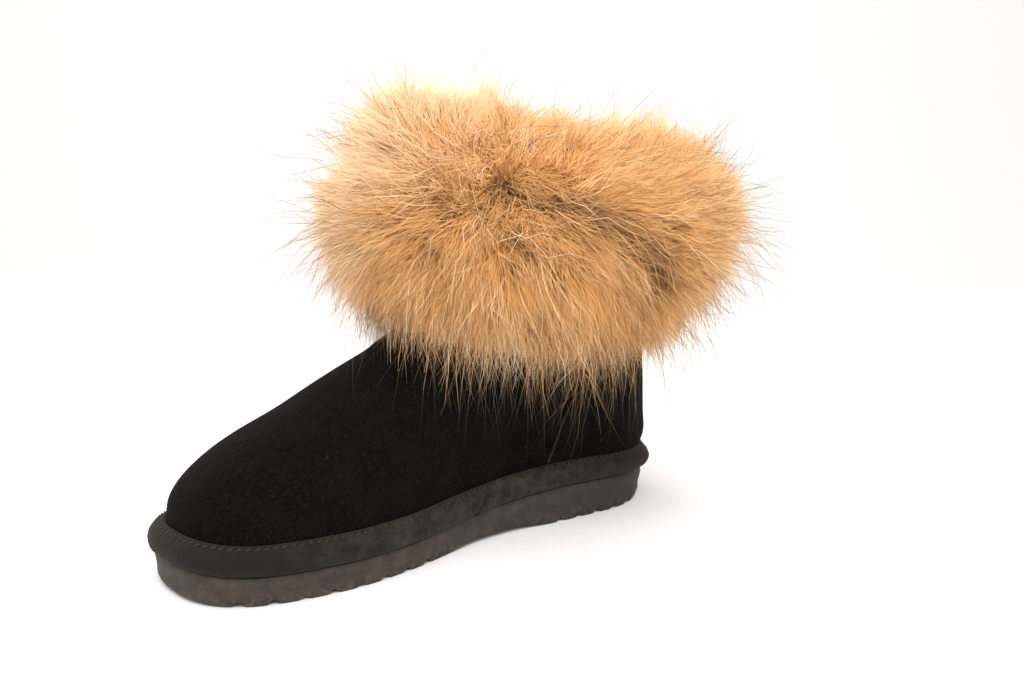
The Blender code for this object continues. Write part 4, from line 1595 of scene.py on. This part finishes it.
    def lean(self, around: Array, place: Array, spot: Array) -> Array:
        """Which way hair lies along the face, as shares round and up the section.

        Away from the whorl near it, and elsewhere down on the lower half and up on the upper
        half, with a slow wander. The whorl's heart is tousled.

        Args:
            around: Place round the boot.
            place: Place over the section.
            spot: The same places in space, for the wander.

        Returns:
            Two columns: the share round the boot and the share up the section.
        """
        over = self.apart(around, self.whorl[0]) * self.whorl_scale[0]
        rise = (place - self.whorl[1]) * self.whorl_scale[1]
        far = np.sqrt(over**2 + rise**2 + 0.01)
        near = bell(far / self.whorl_reach)
        plain = np.tanh((place - 0.50) * 8.0)
        open_heart = smooth_step(far / self.heart_reach)
        tousled = self.tousle * bell(far / self.tousle_reach)
        side = over / far * (0.25 + 0.70 * near) * open_heart
        side += ripples(spot, (0.040, 0.50, 51)) + ripples(spot, (0.007, 1.0, 53)) * tousled
        up = rise / far * near * 0.8 * open_heart + plain * (1.0 - near)
        up += ripples(spot, (0.045, 0.28, 52)) + ripples(spot, (0.007, 1.0, 54)) * tousled
        return np.stack([side, up], axis=1)

    def grow(self, flow: Flow) -> bpy.types.Object:
        """Grows one layer of hair as narrow ribbons.

        Each hair is a quadratic curve from a root inside the skin to a tip outside it. Its
        direction is the skin's normal times the lift plus the lean. Its tip is drawn to its
        clump's and its lock's, and droops in proportion to its length.

        Args:
            flow: The layer's settings.

        Returns:
            The layer as one mesh with UV u for tone and v from root to tip.
        """
        rng = np.random.default_rng(flow.seed)
        clump_around = rng.uniform(0.0, 1.0, flow.clumps)
        clump_place = rng.uniform(*flow.place, flow.clumps)
        clump_tone = rng.uniform(0.0, 1.0, flow.clumps)
        clump_long = rng.uniform(*self.clump_long, flow.clumps)
        clump_twist = rng.normal(0.0, self.clump_turn, (flow.clumps, 2))
        which = rng.integers(0, flow.clumps, flow.count)
        around = clump_around[which] + rng.normal(0.0, flow.spread / self.girth, flow.count)
        place = clump_place[which] + rng.normal(0.0, flow.spread / self.depth, flow.count)
        place = np.clip(place, flow.place[0] - 0.02, flow.place[1] + 0.02)
        low, face = self.look("root", around, place), self.look("face", around, place)
        root = low + (face - low) * flow.start
        normal = self.look("normal", around, place)
        lean = self.lean(around, place, root) + clump_twist[which]
        lean += rng.normal(0.0, flow.stray, (flow.count, 2))
        way = (normal * flow.lift + self.look("round", around, place) * lean[:, :1]
               + self.look("section", around, place) * lean[:, 1:])
        way = unit(way + rng.normal(0.0, flow.stray * 0.5, (flow.count, 3)))
        length = rng.uniform(*flow.length, flow.count) * clump_long[which]
        length *= through(HAIR_ROWS["place"], HAIR_ROWS["long"], place)
        deep = np.linalg.norm(face - root, axis=1)
        tip = root + normal * (deep * self.tip_rise)[:, None] + way * length[:, None]
        lock_spot = np.column_stack([rng.uniform(0.0, 1.0, flow.locks) * self.girth,
                                     rng.uniform(*flow.place, flow.locks) * self.depth])
        clump_spot = np.column_stack([clump_around * self.girth, clump_place * self.depth])
        apart = ((clump_spot[:, None] - lock_spot[None]) ** 2).sum(axis=2)
        lock = apart.argmin(axis=1)[which]
        length *= rng.uniform(*self.lock_long, flow.locks)[lock]
        for group, pull in ((which, flow.pull), (lock, flow.lock_pull)):
            tip = self.gathered(root, tip, length, group,
                                pull * rng.uniform(0.5, 1.0, flow.count))
        tip[:, 2] -= flow.droop * length
        bend = (root + normal * (deep * self.bend_rise + length * self.bend_lift)[:, None]
                + way * (length * self.bend_way)[:, None])
        dark = self.parting(around, place)
        tone = clump_tone[which] * 0.5 + rng.uniform(0.0, 0.5, flow.count)
        tone = flow.bright[0] + (flow.bright[1] - flow.bright[0]) * tone
        # Paler patches: partly the hair's own tone, partly painted light.
        tone += self.bumps(PALE_AND_LIT_PATCHES, "pale", around, place)
        tone = np.clip(tone, 0.0, 1.0) * (1.0 - 0.9 * dark)
        return self.ribbons(flow, (root, self.held(root, bend), self.held(root, tip)), normal,
                            tone, dark, rng)

    @staticmethod
    def gathered(root: Array, tip: Array, length: Array, group: Array, pull: Array) -> Array:
        """Draws the tips of each group of hairs together.

        Args:
            root: Roots of the hairs.
            tip: Their tips.
            length: Their lengths.
            group: The number of each hair's group.
            pull: The share of the way that each tip moves.

        Returns:
            The tips, each moved towards its group's mean root plus the group's mean way
            times the hair's own share of the mean length.
        """
        sums = np.zeros((group.max() + 1, 7))
        np.add.at(sums, group, np.column_stack([tip - root, root, np.ones(len(root))]))
        sums[:, :6] /= np.maximum(sums[:, 6:], 1)
        goal = sums[group, 3:6] + sums[group, :3] * (length / length.mean())[:, None]
        return tip + (goal - tip) * pull[:, None]

    def held(self, root: Array, tip: Array) -> Array:
        """Holds tips inside the cuff's limits.

        Args:
            root: Roots of the hairs.
            tip: Their tips, or other points of theirs.

        Returns:
            The tips, each drawn back along its way from the root as far as it has to be.
        """
        way = tip - root
        ahead = np.where(way > 0, np.array(self.high_limit), np.array(self.low_limit)) - root
        share = (ahead / np.where(np.abs(way) < 1e-9, 1e-9, way)).min(axis=1)
        return root + way * np.clip(share, 0.0, 1.0)[:, None]

    @staticmethod
    def ribbons(flow: Flow, curves: tuple[Array, Array, Array], normal: Array, tone: Array,
                dark: Array, rng: np.random.Generator) -> bpy.types.Object:
        """Makes one ribbon along each hair.

        A point is the quadratic Bezier of root, bend and tip, moved a little at random between
        the ends for crimp, and the ribbon's half width falls from the root to a point at the
        tip. It is shaded mostly as the fur's face is, so that fine hair looks soft.

        Args:
            flow: The layer's settings.
            curves: Roots of the hairs, their middle control points, and their tips.
            normal: The skin's normal at each hair.
            tone: Each hair's tone, 0 dark to 1 pale.
            dark: How far each hair is in a parting, 0 to 1.
            rng: The layer's random numbers.

        Returns:
            The layer as one mesh.
        """
        root, bend, tip = curves
        steps = np.linspace(0.0, 1.0, flow.stations + 1)[:, None, None]
        curve = (root[None] * (1 - steps) ** 2 + 2 * bend[None] * steps * (1 - steps)
                 + tip[None] * steps**2)
        crimp = rng.normal(0.0, flow.crimp, curve.shape) * (4 * steps * (1 - steps))
        curve = curve + crimp * (1.0 + flow.parted * dark)[None, :, None]
        run = unit(np.gradient(curve, axis=0))
        side = unit(np.cross(run, normal[None]))
        turn = rng.normal(0.0, flow.twist, flow.count)
        turn = np.clip(turn, -flow.twist_limit, flow.twist_limit)[None, :, None]
        side = side * np.cos(turn) + np.cross(run, side) * np.sin(turn)
        thick = flow.width / 2 * rng.uniform(*flow.thickness, flow.count)[None, :, None]
        taper = np.clip(flow.blunt - steps**flow.taper, 0.0, 1.0)
        left, right = curve - side * thick * taper, curve + side * thick * taper
        pairs = np.stack([left[:-1], right[:-1]], axis=2).transpose(1, 0, 2, 3)
        points = np.concatenate([pairs.reshape(flow.count, -1, 3), curve[-1][:, None]], axis=1)
        each = 2 * flow.stations + 1
        k = np.arange(flow.stations - 1) * 2
        quads = np.stack([k, k + 1, k + 3, k + 2], axis=1)
        end = np.array([[each - 3, each - 2, each - 1]])
        first = (np.arange(flow.count) * each)[:, None, None]
        faces = [(quads[None] + first).reshape(-1, 4), (end[None] + first).reshape(-1, 3)]
        v = np.concatenate([np.repeat(steps[:-1, 0, 0], 2), [1.0]])
        uv = np.stack(np.broadcast_arrays(tone[:, None], v[None]), axis=-1)
        piece = add_mesh(flow.name, points.reshape(-1, 3), faces, flow.finish,
                         uv.reshape(-1, 2))
        own = np.cross(side, run).mean(axis=0)
        stray = rng.normal(0.0, flow.mixed_shade, normal.shape)
        soft = unit(normal + own * flow.own_shade + stray)
        piece.data.normals_split_custom_set_from_vertices(np.repeat(soft, each, axis=0))
        return piece

    def build(self) -> list[bpy.types.Object]:
        """Makes the pelt and every layer of hair.

        Returns:
            The pieces, the pelt first.
        """
        self.prepare()
        coat = (HairTone.DUSK, HairTone.GINGER, HairTone.PALE)
        fur = Hair("raccoon_fur", coat)
        gold = Hair("golden_guard_hair", (HairTone.GINGER, HairTone.PALE, HairTone.CREAM),
                    roughness=0.45)
        sable = Hair("sable_guard_hair", (HairTone.SABLE,) * 3, roughness=0.45)
        ash_and_highlight = Hair("ash_and_highlight_guard_hair", (HairTone.ASH_AND_HIGHLIGHT,) * 3, roughness=0.40)
        layers = (
            Flow("underfur", 30000, 61, (0.05, 0.96), (0.005, 0.010), 0.00052, 2600, fur,
                 spread=0.004, pull=0.2, lift=0.8, start=0.80, stations=2),
            Flow("fur_low", 58000, 62, (0.06, 0.42), (0.007, 0.016), 0.00026, 2600, fur,
                 pull=0.42, stray=0.24, stations=2),
            Flow("fur_middle", 52000, 63, (0.38, 0.66), (0.008, 0.016), 0.00026, 2200, fur,
                 stations=2),
            Flow("fur_high", 58000, 64, (0.60, 0.97), (0.008, 0.019), 0.00026, 2500, fur,
                 stations=2, lock_pull=0.42),
            Flow("fur_fringe", 2600, 67, (0.05, 0.30), (0.010, 0.036), 0.00026, 900, gold,
                 spread=0.004, pull=0.35, stray=0.35, droop=0.50, start=0.80, stations=4,
                 crimp=0.0007, bright=(0.0, 0.6), lock_pull=0.1),
            Flow("guard_pale", 4200, 65, (0.12, 0.80), (0.016, 0.034), 0.00024, 4200, gold,
                 spread=0.002, pull=0.0, stray=0.36, droop=0.25, stations=4, start=0.8,
                 crimp=0.0012, bright=(0.1, 1.0), lock_pull=0.15),
            Flow("guard_sable", 4600, 66, (0.06, 0.76), (0.020, 0.052), 0.00025, 4600, sable,
                 spread=0.002, pull=0.0, stray=0.40, droop=0.30, stations=4, start=0.85,
                 crimp=0.0012, lock_pull=0.2),
            # Grey hanging guard hairs over the suede: partly their own colour, partly painted
            # highlight.
            Flow("guard_ash_and_highlight", 1100, 68, (0.05, 0.28), (0.022, 0.052), 0.00019, 1100, ash_and_highlight,
                 spread=0.002, pull=0.0, stray=0.34, droop=0.80, stations=4, start=0.85,
                 crimp=0.0012, lock_pull=0.1),
            Flow("guard_hanging", 1100, 69, (0.30, 0.52), (0.026, 0.054), 0.00026, 1100, sable,
                 spread=0.002, pull=0.0, stray=0.34, droop=0.62, stations=4, start=0.85,
                 crimp=0.0014, lock_pull=0.25),
        )
        return [self.pelt(), *(self.grow(flow) for flow in layers)]


@dataclass(frozen=True)
class Paper(Finish):
    """Matt white paper of the studio's floor and wall, all but even."""

    name: str = "matt_white_paper"
    colour: str = "#f6f4f3"
    pale: str = "#fbfaf9"

    def build(self) -> bpy.types.Material:
        """Makes the material: a faint mottle 4 mm across.

        Returns:
            The material.
        """
        s = Shader(self.name)
        colour, _ = s.patches(s.add("TexCoord", out="Object"), linear(self.colour),
                              (0.004, 3.0, 0.6, 0.0, 1.0, 1.0, self.pale))
        return s.finish(Base_Color=colour, Roughness=0.9, Specular_IOR_Level=0.2)


@dataclass(frozen=True)
class Studio:
    """Pale floor and wall, soft lights, and the camera at the photograph's angle.

    The camera is on a sphere round its target. Angles are in degrees, the lens in millimetres
    and the rest in metres.
    """

    lens: float = 36.70
    azimuth: float = -35.38
    elevation: float = 13.638
    distance: float = 0.500
    target: tuple[float, float, float] = (-0.086, 0.0, 0.040)
    aim_yaw: float = -4.562
    aim_pitch: float = -5.729
    roll: float = 0.603
    lit_spot: tuple[float, float, float] = (-0.06, 0.0, 0.08)
    floor_turn: float = -35.0
    floor_near: float = -1.6
    floor_far: float = 1.4
    floor_bend: float = 0.8
    floor_half: float = 3.0
    wall_height: float = 3.0
    floor_steps: int = 12

    def build(self) -> None:
        """Makes the floor, the lights, the world and the camera."""
        self.floor()
        for name, place, size, power in (
                ("key", (-0.75, -0.95, 1.25), 1.1, 22.5), ("fill", (0.95, -0.90, 0.75), 1.2, 2.6),
                ("top", (-0.05, 0.15, 1.50), 1.2, 8.0), ("back", (-0.30, 1.10, 0.80), 1.0, 5.0)):
            self.light(name, np.array(place), size, power)
        world = bpy.data.worlds.new("white_studio")
        world.use_nodes = True
        world.node_tree.nodes["Background"].inputs["Color"].default_value = linear("#fdfbfa")
        world.node_tree.nodes["Background"].inputs["Strength"].default_value = 0.85
        bpy.context.scene.world = world
        bpy.context.scene.view_settings.view_transform = "Standard"
        self.camera()

    def floor(self) -> None:
        """Makes the pale floor, which curves up into a wall far behind the boot."""
        n, far, bend = self.floor_steps, self.floor_far, self.floor_bend
        arc = np.linspace(0.1, math.pi / 2, n)
        run = np.concatenate([np.linspace(self.floor_near, far, n), far + bend * np.sin(arc),
                              [far + bend]])
        rise = np.concatenate([np.zeros(n), bend * (1 - np.cos(arc)), [self.wall_height]])
        y, x = np.meshgrid(run, np.linspace(-self.floor_half, self.floor_half, n + 1),
                           indexing="ij")
        z = np.repeat(rise[:, None], n + 1, axis=1)
        turn = math.radians(self.floor_turn)
        spots = np.stack([x * math.cos(turn) - y * math.sin(turn),
                          x * math.sin(turn) + y * math.cos(turn), z], axis=-1)
        k = (np.arange(len(run) - 1)[:, None] * (n + 1) + np.arange(n)[None]).ravel()
        faces = np.stack([k, k + 1, k + n + 2, k + n + 1], 1)
        add_mesh("studio_floor", spots.reshape(-1, 3), [faces], Paper())

    @staticmethod
    def stand(name: str, data: bpy.types.ID, axes: tuple[Array, Array, Array],
              place: Array) -> bpy.types.Object:
        """Puts a lamp or a camera in the scene.

        Args:
            name: Its name.
            data: The lamp or the camera.
            axes: Unit vectors to its right, up, and back from what it looks at.
            place: Where it stands.

        Returns:
            The object.
        """
        obj = bpy.data.objects.new(name, data)
        obj.matrix_world = Matrix((*np.column_stack([*axes, place]).tolist(), (0, 0, 0, 1)))
        bpy.context.scene.collection.objects.link(obj)
        return obj

    def light(self, name: str, place: Array, size: float, power: float) -> None:
        """Makes a soft square lamp that looks at the boot.

        Args:
            name: The lamp's name.
            place: Where it stands.
            size: Length of its sides in metres.
            power: Its power in watts.
        """
        data = bpy.data.lights.new(name, "AREA")
        data.shape = "SQUARE"
        data.size = size
        data.energy = power
        back = unit(place - np.array(self.lit_spot))
        side = unit(np.cross((0.0, 0.0, 1.0), back))
        self.stand(name, data, (side, np.cross(back, side), back), place)

    @staticmethod
    def towards(yaw: float, pitch: float) -> Array:
        """The unit vector at two angles.

        Args:
            yaw: Angle round the upright, from the inner side's direction, in radians.
            pitch: Angle upwards.

        Returns:
            The vector.
        """
        return np.array([math.sin(yaw) * math.cos(pitch), -math.cos(yaw) * math.cos(pitch),
                         math.sin(pitch)])

    def camera(self) -> None:
        """Makes the camera: on its sphere, then turned by its own yaw, pitch and roll."""
        turn, rise = math.radians(self.azimuth), math.radians(self.elevation)
        place = np.array(self.target) + self.towards(turn, rise) * self.distance
        away = self.towards(turn + math.radians(self.aim_yaw),
                            rise + math.radians(self.aim_pitch))
        right = unit(np.cross(-away, (0.0, 0.0, 1.0)))
        up = np.cross(right, -away)
        cos, sin = math.cos(math.radians(self.roll)), math.sin(math.radians(self.roll))
        data = bpy.data.cameras.new("camera")
        data.lens = self.lens
        data.sensor_width = 36.0
        data.clip_start = 0.01
        axes = (right * cos + up * sin, up * cos - right * sin, away)
        bpy.context.scene.camera = self.stand("camera", data, axes, place)


def main() -> None:
    """Builds the boot piece by piece on the frame."""
    logging.basicConfig(level=logging.INFO, format="%(name)s: %(message)s")
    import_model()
    last = Last(BootSizes())
    cuff = FurCuff(last).build()
    upper = Upper(last).build()
    binding = Binding(last).build()
    sole = Sole(last).build()
    dressed = [(piece, "fur") for piece in cuff]
    dressed += [(piece, "fleece" if "wool" in piece.name else "suede") for piece in upper]
    dressed += [(piece, "binding") for piece in binding] + [(sole, "outsole")]
    total = 0
    for piece, slot in dressed:
        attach(piece, BODY)
        triangles = len(piece.data.loops) - 2 * len(piece.data.polygons)
        total += triangles
        log.info("%s: %d triangles, %d in all", piece.name, triangles, total)
    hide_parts("fur_cuff")
    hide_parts("upper")
    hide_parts("insole")
    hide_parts("binding")
    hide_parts("outsole")
    Studio().build()


if __name__ == "__main__":
    main()
